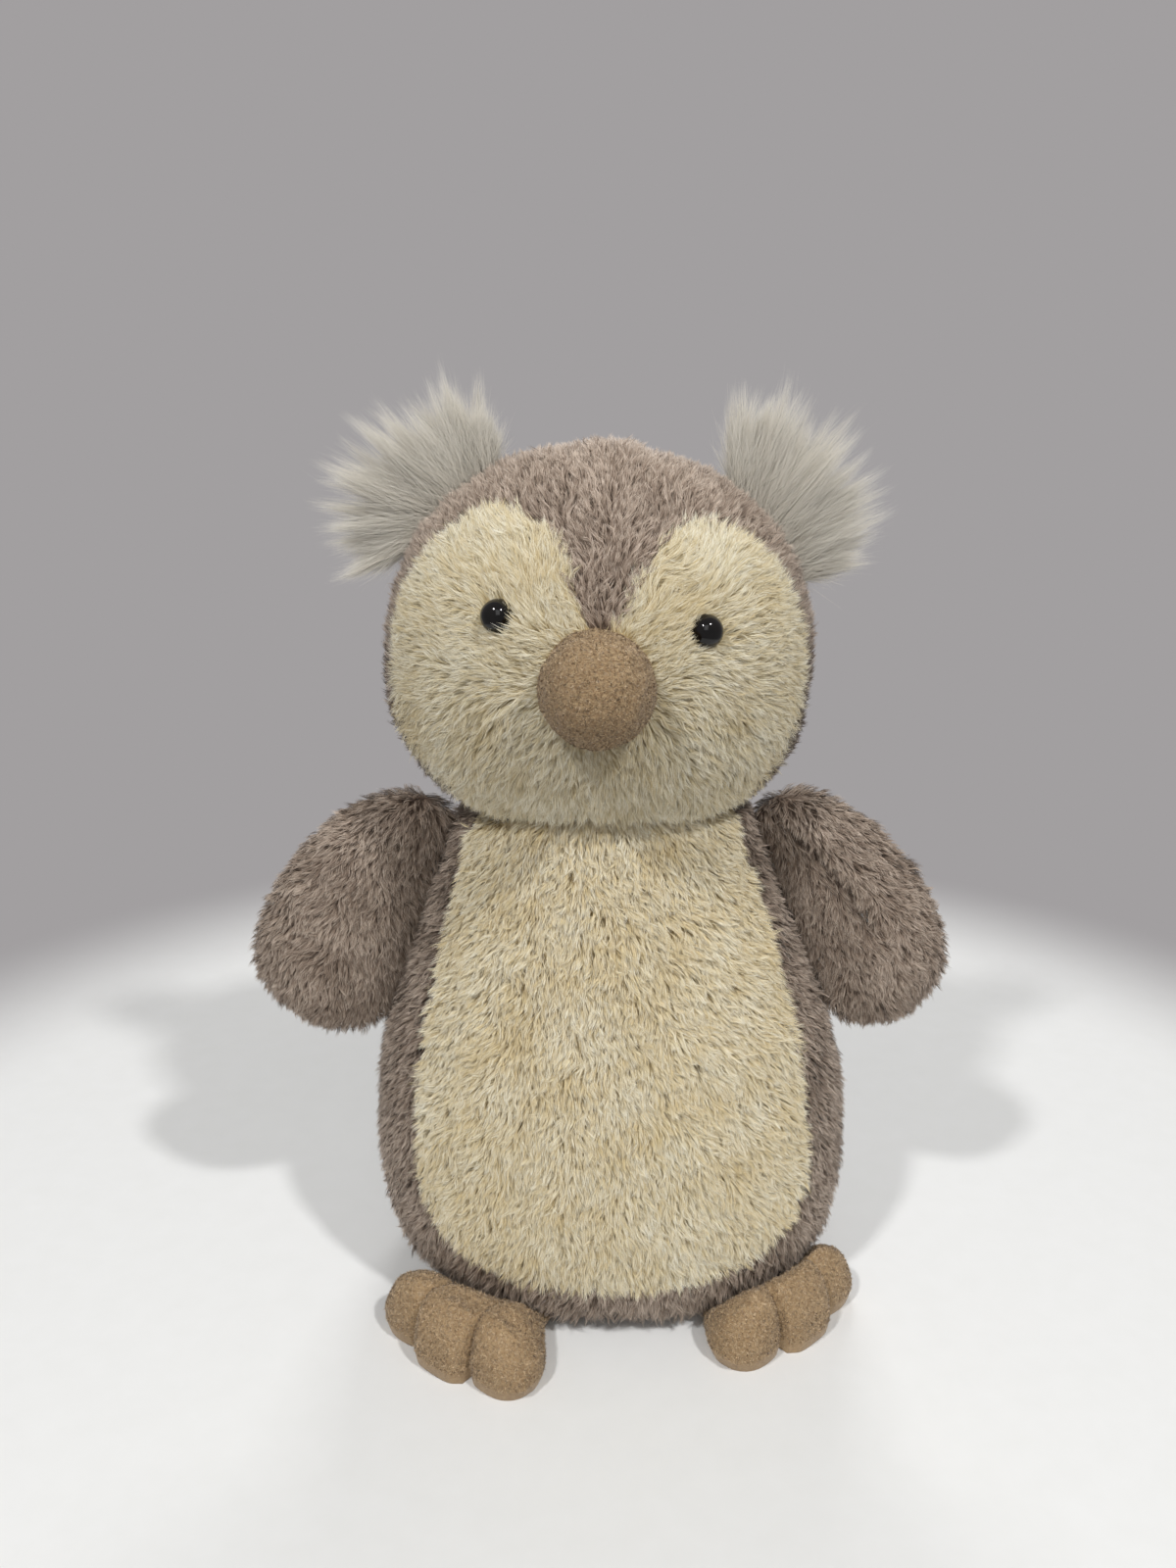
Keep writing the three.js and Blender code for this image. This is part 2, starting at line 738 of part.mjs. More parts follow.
// The pocket in the stuffing for the washer and the end of the stem.
function washerPocket(side) {
  const { start, aim } = eyeLine(side);
  const end = eyeBack - eyeStemLength - gap;
  const back = washerFront - washerThickness - gap;
  return turned([
    [0, end],
    [eyeStemRadius + gap, end],
    [eyeStemRadius + gap, back],
    [washerRadius + gap, back],
    [washerRadius + gap, 0],
    [0, 0],
  ], roundSteps, start, aim);
}

const earBase = (share, side) => {
  const { place, out } = headOutside(aimOf(side * earTurn, lerp(earTopLift, earLowLift, share)));
  return place.addScaledVector(out, earSeat);
};

// A point of an ear's middle plane: share along its seam, then share of the fur's length.
function earPlane(share, reach, side) {
  const middle = 4 * share * (1 - share);
  const lowLength = side < 0 ? leftEarLowLength : rightEarLowLength;
  const length = lerp(lerp(earTopLength, lowLength, share), earMiddleLength, middle);
  const lock = 1 - earLockShare * Math.sin(earLocks * Math.PI * share) ** 2;
  const aim = lerp(earTopAim, side < 0 ? leftEarLowAim : rightEarLowAim, share);
  const way = new THREE.Vector3(side * Math.cos(aim), 0, Math.sin(aim));
  return earBase(share, side).addScaledVector(way, reach * length * (1 - reach * (1 - lock)));
}

function earFur(side) {
  const sheet = (front) => (s, t) => {
    const round = Math.sin(Math.PI * t) * Math.sin(Math.acos(1 - s - s));
    const point = earPlane(s, t, side);
    point.y += ((front ? -1 : 1) * round * earThickness) / 2;
    return fromHead(point);
  };
  return betweenSheets(sheet(true), sheet(false), earColumns, earRows);
}

function earTab(side, slack) {
  const margin = earTabMargin - slack / headWidth;
  const start = -slack / earMiddleLength;
  const sheet = (front) => (s, t) => {
    const point = earPlane(lerp(margin, 1 - margin, s), lerp(start, earTabShare - start, t), side);
    point.y += (front ? -1 : 1) * (earTabThickness / 2 + slack);
    return fromHead(point);
  };
  return betweenSheets(sheet(true), sheet(false), earTabColumns, earTabRows);
}

function headGroup() {
  const group = new THREE.Group();
  const bed = headBed();
  group.add(named('beak_cover', cut(beakBody(0), beakBody(suede), bed), tan));
  group.add(named('beak_stuffing', cut(beakBody(suede + gap), bed), fill));
  const hole = beakBody(-gap);
  for (const [word, side] of [['left', -1], ['right', 1]]) {
    group.add(named(`face_${word}_panel`, cut(facePanel(side), hole, eyeHole(side)), cream));
    group.add(named(`crown_${word}_panel`, cut(crownPanel(side), hole), taupe));
    const { start, aim } = eyeLine(side);
    group.add(named(`${word}_eye`, turned(eyeHalf(0), roundSteps, start, aim), beadBlack));
    group.add(named(`${word}_eye_washer`, turned(washerRing(0), roundSteps, start, aim), clearPlastic));
    group.add(named(`${word}_ear_fur`, cut(earFur(side), earTab(side, gap)), whiteFur));
    group.add(named(`${word}_ear_tab`, earTab(side, 0), taupe));
  }
  group.add(named('head_stuffing', cut(headStuffing(), washerPocket(-1), washerPocket(1)), fill));
  return group;
}

// The face that the beak's root rests on: the front of the head just outside its stuffing.
function headBed() {
  const rings = [];
  for (let j = 0; j <= bedRows; j += 1) {
    const lift = lerp(-Math.PI / 2, Math.PI / 2, j / bedRows);
    rings.push(ring((turn) => underHead(aimOf(turn, lift), plush)));
  }
  return insideRings(rings);
}

// A wing's own axes: down along its seam, out from the body, and forward.
function wingAxes(side) {
  const seat = (share) => underBody(side * wingTurn, share, -wingSeat);
  const top = seat(wingTopShare);
  const low = seat(wingLowShare);
  low.y = top.y;
  const down = low.sub(top).normalize();
  const front = new THREE.Vector3(0, -1, 0);
  const out = down.clone().cross(front).multiplyScalar(-side).normalize();
  return { top, down, out, front };
}

// Half the wing's thickness at a length share and a share across it.
function wingPuff(share, across) {
  const along = Math.sqrt(1 - (2 * share - 1) ** wingEndSquareness);
  const swell = lerp(wingTopThicknessShare, 1, share);
  return along * swell * Math.max(0, Math.sin(Math.PI * across ** wingPuffSkew)) ** wingPuffRoundness;
}

// A sheet of a wing: face is 1 in front and -1 behind, inset shrinks it towards its middle.
function wingSheet(side, face, inset, half, lift) {
  const { top, down, out, front } = wingAxes(side);
  const shrink = inset / wingWidth;
  const narrow = 1 - 2 * shrink;
  const shorter = 1 - (2 * inset) / wingLength;
  return (s, t) => {
    const share = (1 - Math.cos(Math.PI * t)) / 2;
    const [inner, outer] = readRows(wingShares, share);
    const across = lerp(inner, outer, s);
    const thick = half * wingPuff(share, s) + lift;
    return top.clone()
      .addScaledVector(down, inset + share * shorter * wingLength)
      .addScaledVector(out, (shrink + across * narrow) * wingWidth)
      .addScaledVector(front, face * thick);
  };
}

function wingGroup(word, side) {
  const group = new THREE.Group();
  const hem = wingHemShare * wingWidth;
  const outerHalf = wingThickness / 2 - gap / 2;
  const innerHalf = outerHalf - plush;
  for (const [place, face] of [['front', 1], ['back', -1]]) {
    group.add(named(`${word}_wing_${place}_panel`, betweenSheets(
      wingSheet(side, face, 0, outerHalf, gap / 2),
      wingSheet(side, face, hem, innerHalf, gap / 2),
      wingColumns,
      wingRows,
    ), taupe));
  }
  const coreHalf = innerHalf - gap / 2;
  group.add(named(`${word}_wing_stuffing`, betweenSheets(
    wingSheet(side, 1, hem + 2 * gap, coreHalf, 0),
    wingSheet(side, -1, hem + 2 * gap, coreHalf, 0),
    wingColumns,
    wingRows,
  ), fill));
  return group;
}

// The toe at a place across the foot, as -1, 0 or 1, and how round the toe is there.
function toeAt(across) {
  const toe = Math.max(-1, Math.min(1, Math.round(across * 1.5)));
  const round = Math.sqrt(Math.max(0, 1 - (3 * across - 2 * toe) ** 2));
  return [toe, round];
}

// The foot's outline in its own axes: across from -1 to 1, along from its seam at 0 to the toe tips at 1.
function footPlan(across, along, inset) {
  const [toe, round] = toeAt(across);
  const tip = footLength - footSetBack * Math.abs(toe) - toeScallop * (1 - round);
  const half = lerp(footSeamWidth, footToeWidth, smoothstep(along, 0, footWidestShare)) / 2;
  return new THREE.Vector3(across * (half - inset), -inset - along * (tip - 2 * inset), 0);
}

// The foot's height over its sole, with its toes parted by grooves.
function footRise(across, along) {
  const round = toeAt(across)[1];
  const dome = Math.sqrt(1 - across ** 4);
  const lobes = Math.max(round, toeGrooveShare * dome);
  const shape = lerp(dome, lobes, smoothstep(along, grooveStartShare, grooveFullShare));
  const past = Math.max(0, (along - footCrestShare) / (1 - footCrestShare));
  const crest = Math.min(1, along / footCrestShare) * Math.sqrt(1 - past ** 2);
  return lerp(footSeamThickness * dome * (1 - along), footThickness, crest * shape);
}

const toeColumns = 3 * toeSteps;

// Shares across the foot that crowd towards the grooves between the toes.
function toeAcross(i) {
  const toe = Math.min(2, Math.floor(i / toeSteps));
  const within = (i - toe * toeSteps) / toeSteps;
  return (2 * (toe - 1) - Math.cos(Math.PI * within)) / 3;
}

// A sheet of a foot: its root is tucked under the belly, where the belly cuts it off.
function footSheet(inset, floor, height, tuck) {
  return (s, t, i) => {
    const across = toeAcross(i);
    const along = Math.sin((Math.PI / 2) * t);
    const point = footPlan(across, along, inset);
    point.y += tuck;
    point.z = floor + Math.max(0, height * footRise(across, along));
    return point;
  };
}

const feet = {
  left: { side: -1, spread: leftFootSpread, splay: leftFootSplay, tuck: leftFootTuck },
  right: { side: 1, spread: rightFootSpread, splay: rightFootSplay, tuck: rightFootTuck },
};

// The middle of a foot's seam, on the floor in front of the base's edge.
function footSeatOf({ side, spread }) {
  const half = bodyOutside(Math.PI / 2, baseShare).x;
  const edge = bodyOutside(Math.asin(spread / half), baseShare);
  return new THREE.Vector3(side * spread, edge.y - footSeat, 0);
}

// The room that the underside of the body takes, in the axes of a foot that is folded by an angle.
function bellyRoom(group, angle, clear) {
  const sides = bellyRoomShares.map((share) => ring((turn) => underBody(turn, share, -clear)));
  const onAxis = (side) => ring(() => new THREE.Vector3(0, 0, side[0].z));
  const room = insideRings([onAxis(sides[0]), ...sides, onAxis(sides[sides.length - 1])]);
  group.updateMatrix();
  room.applyMatrix4(group.matrix.clone().invert());
  return room.rotateX(degToRad(angle));
}

function footGroup(word) {
  const { splay, tuck } = feet[word];
  const group = new THREE.Group();
  group.position.copy(footSeatOf(feet[word]));
  group.rotation.z = splay;
  const rooms = [
    bellyRoom(group, 0, footBedGap),
    bellyRoom(group, footFoldUp, footFoldGap),
    bellyRoom(group, -footDropDown, footBedGap),
  ];
  const floor = suede + gap;
  const top = (inset, depth) => footSheet(inset, floor, 1 - (floor + depth) / footThickness, tuck);
  const flat = (inset, height) => footSheet(inset, height, 0, tuck);
  const layer = (name, over, under, rows, look) => {
    const sheets = betweenSheets(over, under, toeColumns, rows);
    group.add(named(`${word}_foot_${name}`, cut(sheets, ...rooms), look));
  };
  layer('sole', flat(0, suede), flat(0, 0), soleRows, tan);
  layer('upper', top(0, 0), top(suede, suede), footRows, tan);
  layer('stuffing', top(floor, suede + footFillSlack), flat(floor, floor), footRows, fill);
  return group;
}

// The seams that give. Positive turns the head right, nods it down, swings a wing forward,
// folds a foot up and bends an ear forward.
function sewnJoints() {
  const joints = [{
    name: 'head_turn',
    parent: 'body',
    child: 'neck',
    at: neckCentre,
    axis: new THREE.Vector3(0, 0, 1),
    range: [-headTurnRange, headTurnRange],
  }, {
    name: 'head_nod',
    parent: 'neck',
    child: 'head',
    at: neckCentre,
    axis: new THREE.Vector3(1, 0, 0),
    range: [-headNodRange, headNodRange],
  }];
  for (const [word, { side, splay }] of Object.entries(feet)) {
    const wing = wingAxes(side);
    const ear = [0, 1].map((share) => fromHead(earBase(share, side)));
    joints.push({
      name: `${word}_wing_swing`,
      parent: 'body',
      child: `${word}_wing`,
      at: wing.top,
      axis: wing.down.multiplyScalar(side),
      range: [-wingBackward, wingForward],
    }, {
      name: `${word}_foot_fold`,
      parent: 'body',
      child: `${word}_foot`,
      at: footSeatOf(feet[word]),
      axis: new THREE.Vector3(-Math.cos(splay), -Math.sin(splay), 0),
      range: [-footDropDown, footFoldUp],
    }, {
      name: `${word}_ear_bend`,
      parent: 'head',
      child: `${word}_ear`,
      at: ear[0],
      axis: ear[1].clone().sub(ear[0]).normalize().multiplyScalar(side),
      range: [-earGive, earGive],
    });
  }
  return joints;
}

const owl = new THREE.Group();
owl.add(bodyGroup());
owl.add(named('neck_stuffing', neckWad(), fill));
owl.add(headGroup());
owl.add(wingGroup('left', -1));
owl.add(wingGroup('right', 1));
owl.add(footGroup('left'));
owl.add(footGroup('right'));

owl.userData.joints = sewnJoints();

export default owl;
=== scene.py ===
import math
from collections import namedtuple

import bmesh
import bpy
import numpy as np
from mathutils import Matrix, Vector


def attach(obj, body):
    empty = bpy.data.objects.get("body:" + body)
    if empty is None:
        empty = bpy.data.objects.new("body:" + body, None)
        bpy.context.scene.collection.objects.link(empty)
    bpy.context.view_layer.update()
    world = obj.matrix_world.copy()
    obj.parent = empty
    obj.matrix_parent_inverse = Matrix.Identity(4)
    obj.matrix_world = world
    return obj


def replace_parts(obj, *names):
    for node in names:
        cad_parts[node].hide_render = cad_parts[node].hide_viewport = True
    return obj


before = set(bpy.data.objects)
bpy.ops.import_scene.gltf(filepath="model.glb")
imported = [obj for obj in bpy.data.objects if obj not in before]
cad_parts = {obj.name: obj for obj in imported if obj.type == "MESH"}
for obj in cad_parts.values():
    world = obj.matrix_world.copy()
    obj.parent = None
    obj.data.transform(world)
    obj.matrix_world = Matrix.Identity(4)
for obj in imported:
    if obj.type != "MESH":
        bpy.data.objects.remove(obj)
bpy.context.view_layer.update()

# A stuffed owl: long plush on its body, head and wings, fans of long fur for its ears,
# napped suedette on its beak and feet, and bead eyes. Sizes are millimetres until a mesh is made.

MM = 0.001
UP = np.array([0, 0, 1.0])
SIDES = {"left": -1, "right": 1}

# Cloth
PILE = 5.6  # from the backing of the plush to the tips of its pile
SEAM_DIP, SEAM_REACH = 1.8, 2.6  # how far a seam draws the backing in, and how far from it
LUMP, LUMP_SIZE = 0.35, 22  # how high the stuffing's lumps stand, and how wide they are

# Body
BODY_WIDTH, BODY_FRONT, BODY_BACK, BODY_HEIGHT = 177, 67, 65, 200
BODY_SQUARENESS = 2.15
BODY_LEAN = 4.5
BODY_ROWS = [  # height share, then shares of the half width, the front depth and the back depth
    (0, 0.715, 0.7, 0.7), (0.02, 0.8, 0.785, 0.785), (0.05, 0.88, 0.87, 0.87),
    (0.11, 0.955, 0.95, 0.95), (0.2, 0.993, 0.996, 0.99), (0.3, 1, 1, 1),
    (0.41, 0.977, 0.985, 0.985), (0.52, 0.921, 0.94, 0.945), (0.635, 0.83, 0.873, 0.885),
    (0.75, 0.729, 0.8, 0.81), (0.85, 0.644, 0.73, 0.74), (0.94, 0.593, 0.68, 0.69),
    (1, 0.565, 0.65, 0.66),
]
TUMMY_EDGE = [  # degrees round from the front, then the share of the neck's height
    (0, 0.135), (23, 0.147), (40, 0.2), (49.5, 0.295),
    (50.5, 0.42), (53, 0.6), (58.5, 0.81), (61, 1),
]
TUMMY_PARTING, TUMMY_FAN = -18, 0.0125  # the pile combs apart from here, by so much per mm
SKIRT_LOW, SKIRT_HIGH = 6, 34  # the heights between which the pile grows longer and flatter
BASE_RIM = 1
BASE_SHARE = np.array(BASE_RIM / BODY_HEIGHT)
BASE_TUCK, BASE_REST, BASE_TURN_UP = 0.985, 0.6, 5.0
NECK_CENTRE = np.array([-BODY_LEAN * 0.71**2, 0, 142])
NECK_RADIUS = 67
NECK_SEAT_GAP = 1
NECK_BACKING, LINING_GAP = 5, 3.5  # the backing inside the neck's ball, the lining outside it
NECK_PILE_ROWS = 12
BIB_EDGE = 60  # degrees round from the front, where the neck turns from cream to taupe

# Head
HEAD_CENTRE = np.array([-5.5, -2, 232])
HEAD_WIDTH, HEAD_FRONT, HEAD_BACK, HEAD_TOP, HEAD_BOTTOM = 145, 61, 60, 72, 61
HEAD_SQUARENESS = 2.2
HEAD_TILT, HEAD_TURN = math.radians(4), math.radians(-1)
CROWN_RIDGE_HEIGHT, CROWN_RIDGE_WIDTH = 3, 16
CHIN_EDGE, NAPE_EDGE = 57, 177
FACE_EDGE = [  # degrees round from the front, then degrees up from the head's middle
    (3.4, 19), (8, 26), (12, 33), (16.3, 40), (24, 45), (37, 47.3), (49, 45.3),
    (57, 39.5), (63.5, 30), (68.5, 18), (71, 4), (70, -9), (66.5, -22), (62, -34),
]
FACE_STEPS, CHIN_STEPS, CROWN_STEPS = len(FACE_EDGE), 5, 10
FACE_PILE_LENGTH = 8.2
BEAK_RADIUS, BEAK_REACH, BEAK_BULGE, BEAK_TAIL, BEAK_HEIGHT = 17.1, 19.5, 3, 18, 5
BEAK_DROOP = math.radians(9)
BEAK_HIDDEN = 14  # how far the beak goes back into the face
BEAK_CLEARING = 14.5, 15.5  # no pile nearer than this to the beak's line
BEAK_PUCKERS = 17  # gathers round the seam at its foot
EYE_RADIUS, EYE_TURN, EYE_LIFT, EYE_PROUD, EYE_FLATNESS = 5.4, 31, 19.5, 1.6, 0.8
EYE_BACK, EYE_STEM, EYE_STEM_RADIUS, EYE_BEVEL = -5, 12, 1.6, 0.3
EYE_PIT, EYE_PIT_REACH = 0.5, 7  # how far an eye draws the face in, and how far from it
EYE_CLEARING = 4.4, 5

# Ears
EAR_TURN, EAR_TOP_LIFT, EAR_LOW_LIFT = 92, 58, 27
EAR_LENGTHS = {-1: (17, 38, 24), 1: (27, 37, 18)}  # at the top, in the middle and low down
EAR_TOP_AIM, EAR_LOW_AIMS = 93, {-1: -30, 1: 18}  # degrees up from straight out
EAR_ROOT_SPREAD = [0.8, 2.6, 0.8]
EAR_STRAY = 1.6  # how much further the loosest fibres stray
EAR_FIBRE_WIDTHS = 0.07, 0.13
EAR_STRIP_LENGTH, EAR_STRIP_THICKNESS = 32, 1.4

# Wings
WING_TURN, WING_TOP, WING_LOW, WING_SEAT = 83, 181, 104, 0.9
WING_LENGTH, WING_WIDTH, WING_THICKNESS = 99, 49, 36
WING_TOP_SHARE, WING_END_SQUARENESS, WING_PUFF_SKEW, WING_PUFF_ROUNDNESS = 0.72, 4, 1.25, 0.8
WING_INNER_INSET, WING_OUTER_INSETS = -2.2, {-1: -0.2, 1: 5.4}  # of the backing, for the pile
WING_TOP_INSET, WING_LOW_INSET = -1.4, 8.0
WING_ROWS = [  # length share, then shares of the width at the inner and the outer edge
    (0, 0.2, 0.2), (0.03, 0.02, 0.4), (0.1, 0, 0.57), (0.22, 0, 0.75),
    (0.38, 0, 0.89), (0.55, 0, 0.98), (0.72, 0, 1), (0.85, 0.02, 0.95),
    (0.94, 0.12, 0.8), (0.985, 0.26, 0.61), (1, 0.43, 0.43),
]
WING_PILE_LENGTH = 6.6
WING_SEAM_TURN = 0.6  # how far the pile turns outwards along the seams
WING_CREASE = np.array([(0.34, 0.1), (0.52, 0.52)])  # shares of the width and length at its ends
WING_CREASE_DEPTH, WING_CREASE_REACH = 4.6, 4.2

# Feet
FOOT_SEAT, FOOT_LENGTH, FOOT_SEAM_WIDTH, FOOT_TOE_WIDTH, FOOT_THICKNESS = 0.3, 43, 34, 66, 23.4
FOOT_SET_BACK, FOOT_CREST, FOOT_WIDEST = 4.5, 0.76, 0.8
TOE_VALLEY, TOE_VALLEY_REACH = 1.1, 3.6  # depth between two toes, and how wide it opens
TOE_STITCH, TOE_STITCH_REACH = 1.1, 0.8  # the stitched line at the bottom of the valley
TOE_NOTCH, TOE_NOTCH_REACH = 1.4, 2.4  # how far the outline draws in between two toe tips
TOE_END = 1.6  # how far the corners of a toe's end draw in
FOOT_CORNER, FOOT_CORNER_START = 5, 0.6  # how far the outer corners draw in, and from where
FOOT_RIM = 4.5  # height of the seam where the upper meets the sole
FOOT_ROOT_FULLNESS = 0.6  # of the height at the crest
ROOT_COVER, ROOT_SOFTNESS = 3, 2.2  # how far the root reaches into the pile, and how softly
SOLE_CURL = 2.6  # how quickly the sole turns down from its rim
FEET = {  # side, spread, splay, tuck
    "left": (-1, 36.5, math.radians(-38), 1),
    "right": (1, 48, math.radians(42), 8.5),
}


# ---- numbers


def unit(v):
    return v / np.maximum(np.linalg.norm(v, axis=-1, keepdims=True), 1e-9)


def dot(a, b):
    return (a * b).sum(-1, keepdims=True)


def lerp(a, b, t):
    return a + (b - a) * t


def smooth(value, low, high):
    t = np.clip((value - low) / (high - low), 0, 1)
    return t * t * (3 - 2 * t)


def bell(distance, reach):
    return np.exp(-((distance / reach) ** 2))


def around(steps):
    return np.linspace(0, 2 * math.pi, steps, endpoint=False)


def turned(v, axis, angle):
    """Turns vectors about unit axes."""
    angle = np.asarray(angle)[..., None]
    across, along = np.cross(axis, v), axis * dot(axis, v)
    return v * np.cos(angle) + across * np.sin(angle) + along * (1 - np.cos(angle))


def from_line(points, start, aim):
    """How far points are from a line."""
    return np.linalg.norm(np.cross(points - start, aim), axis=-1)


def read_rows(rows, at):
    """Reads a smooth curve through rows of (position, value, ...) at many positions."""
    rows = np.array(rows, float)
    k = np.clip(np.searchsorted(rows[:, 0], at) - 1, 0, len(rows) - 2)
    start, end = rows[k], rows[k + 1]
    before, after = rows[np.maximum(k - 1, 0)], rows[np.minimum(k + 2, len(rows) - 1)]
    span = end[..., :1] - start[..., :1]
    t = (np.asarray(at)[..., None] - start[..., :1]) / span
    leave = span * (end - before) / (end[..., :1] - before[..., :1])
    arrive = span * (after - start) / (after[..., :1] - start[..., :1])
    change = end - start
    bend = 3 * change - 2 * leave - arrive
    value = start + t * (leave + t * (bend + t * (leave + arrive - 2 * change)))
    return value[..., 1:]


def spline(points, t):
    """A Catmull-Rom curve through points, read at shares of its length from 0 to 1."""
    p = np.array(points, float)
    at = np.asarray(t) * (len(p) - 1)
    k = np.clip(np.floor(at).astype(int), 0, len(p) - 2)
    w = (at - k)[..., None]
    p0, p1, p2, p3 = (p[np.clip(k + step, 0, len(p) - 1)] for step in (-1, 0, 1, 2))
    leave, arrive = (p2 - p0) / 2, (p3 - p1) / 2
    bend = -3 * p1 + 3 * p2 - 2 * leave - arrive
    return (2 * p1 - 2 * p2 + leave + arrive) * w**3 + bend * w**2 + leave * w + p1


def crossing(low, high, shape, value, steps=32):
    """Finds where rising functions cross zero, all at once."""
    low, high = np.full(shape, float(low)), np.full(shape, float(high))
    for _ in range(steps):
        middle = (low + high) / 2
        under = value(middle) < 0
        low, high = np.where(under, middle, low), np.where(under, high, middle)
    return (low + high) / 2


def ripple(points, size, seed, waves=14):
    """Smooth noise from about -1 to 1, in lumps about size across."""
    dice = np.random.default_rng(seed)
    pitch = dice.normal(size=(waves, 3))
    ways = unit(pitch) * 2 * math.pi / size * dice.uniform(0.6, 1.5, (waves, 1))
    phases = dice.uniform(0, 2 * math.pi, waves)
    return np.sin(points @ ways.T + phases).sum(-1) / math.sqrt(waves)


def swirls(points, size, seed):
    """Smooth noise in three directions at once."""
    return np.stack([ripple(points, size, seed + k) for k in (1, 2, 3)], -1)


# ---- the owl's forms


def body_outside(turn, share):
    width, front, back = np.moveaxis(read_rows(BODY_ROWS, share), -1, 0)
    across, along = np.sin(turn), -np.cos(turn)
    squared = np.abs(across) ** BODY_SQUARENESS + np.abs(along) ** BODY_SQUARENESS
    reach = squared ** (1 / BODY_SQUARENESS)
    depth = np.where(along < 0, front * BODY_FRONT, back * BODY_BACK)
    x = across * width * BODY_WIDTH / 2 / reach - BODY_LEAN * share**2
    return np.stack([x, along * depth / reach, share * BODY_HEIGHT], -1)


def body_facing(turn, share, step=1e-3):
    round_it = body_outside(turn + step, share) - body_outside(turn - step, share)
    up = body_outside(turn, share + step) - body_outside(turn, share - step)
    return unit(np.cross(round_it, up))


def from_neck(points):
    return np.linalg.norm(points - NECK_CENTRE, axis=-1)


def neck_share(turn):
    """The height share at which the body's outside meets the ball of the neck."""

    def outside_ball(share):
        return from_neck(body_outside(turn, share)) - NECK_RADIUS

    return crossing(0.855, 1.71, turn.shape, outside_ball)


def body_panel(start, end, columns):
    """The outside and its facing over a panel between two edges of (turn, share of the neck)."""
    s = np.linspace(0, 1, columns)[None, :]
    turn = lerp(start[:, :1], end[:, :1], s)
    share = lerp(start[:, 1:], end[:, 1:], s) * neck_share(turn)
    return body_outside(turn, share), body_facing(turn, share)


def tummy_outline(rows):
    turn, share = spline(TUMMY_EDGE, np.linspace(0, 1, rows)).T
    return np.stack([np.radians(turn), share], -1)


def side_outline(rows):
    """A side panel's front edge: up the middle to the tummy, then along the tummy."""
    skirt = rows // 7
    up = np.linspace(BASE_SHARE, TUMMY_EDGE[0][1], skirt, endpoint=False)
    return np.concatenate([np.stack([np.zeros(skirt), up], -1), tummy_outline(rows - skirt)])


def neck_cap(rim, radius, rows=26):
    """A cap of the ball round the neck's centre, from a rim round it up to its top."""
    way = rim - NECK_CENTRE
    far = np.linalg.norm(way, axis=-1, keepdims=True)
    low = np.arccos(way[:, 2:] / far)
    share = np.linspace(1, 0, rows)[:, None, None]
    level = unit(way * [1, 1, 0])
    swing = low * share
    reach = lerp(radius, far, smooth(share, 0.75, 1))
    return NECK_CENTRE + reach * (level * np.sin(swing) + UP * np.cos(swing))


def head_outside(aim):
    """The head's outside in directions from its middle, and the way out of it, in its own axes."""
    half = HEAD_WIDTH / 2
    sizes = np.where(aim > 0, [half, HEAD_BACK, HEAD_TOP], [half, HEAD_FRONT, HEAD_BOTTOM])
    parts = np.abs(aim) / sizes
    reach = (parts**HEAD_SQUARENESS).sum(-1, keepdims=True) ** (-1 / HEAD_SQUARENESS)
    out = unit(np.sign(aim) * parts ** (HEAD_SQUARENESS - 1) / sizes)
    place = aim * reach
    ridge = CROWN_RIDGE_HEIGHT * bell(place[..., :1], CROWN_RIDGE_WIDTH / 2)
    return place + out * ridge * smooth(aim[..., 2:], 0.45, 0.95), out


def spin(angle, a, b):
    """A turn of axis b towards axis a."""
    pose = np.eye(3)
    pose[[a, b], [a, b]] = math.cos(angle)
    pose[a, b], pose[b, a] = math.sin(angle), -math.sin(angle)
    return pose


HEAD_POSE = spin(-HEAD_TURN, 0, 1) @ spin(HEAD_TILT, 0, 2)


def aimed(way):
    """Turns directions of the head's own axes into the frame's."""
    return way @ HEAD_POSE.T


def from_head(local):
    return aimed(local) + HEAD_CENTRE


def aim_of(turn, lift):
    turn, lift = np.broadcast_arrays(np.radians(turn), np.radians(lift))
    return np.stack([np.sin(turn) * np.cos(lift), -np.cos(turn) * np.cos(lift), np.sin(lift)], -1)


def chin_lift(turn):
    """How far up from the head's middle its outside meets the neck's seat."""

    def outside_seat(lift):
        place, _ = head_outside(aim_of(turn, lift))
        return from_neck(from_head(place)) - (NECK_RADIUS + NECK_SEAT_GAP)

    return crossing(-75, 0, np.shape(turn), outside_seat)


def head_panel(start, end, columns, side):
    """The outside and its facing over a panel between two edges, each a list of directions."""
    angle = np.arccos(np.clip(dot(start, end), -1, 1))[:, None]
    s = np.linspace(0, 1, columns)[None, :, None]
    wide = np.maximum(np.sin(angle), 1e-6)
    near = np.where(angle < 1e-4, 1 - s, np.sin((1 - s) * angle) / wide)
    far = np.where(angle < 1e-4, s, np.sin(s * angle) / wide)
    aim = unit(start[:, None] * near + end[:, None] * far) * np.array([side, 1, 1])
    place, out = head_outside(aim)
    return from_head(place), aimed(out)


def face_edge(step):
    turn, lift = spline([*FACE_EDGE, (CHIN_EDGE, chin_lift(CHIN_EDGE))], step / FACE_STEPS).T
    return aim_of(turn, lift)


def face_panel(side, rows, columns):
    step = np.linspace(0, FACE_STEPS, rows)
    down = FACE_STEPS - CHIN_STEPS
    turn = np.maximum(0, CHIN_EDGE * (step - down) / CHIN_STEPS)
    middle = lerp(FACE_EDGE[0][1], chin_lift(0), step / down)
    lift = np.where(step <= down, middle, chin_lift(side * turn))
    return head_panel(aim_of(turn, lift), face_edge(step), columns, side)


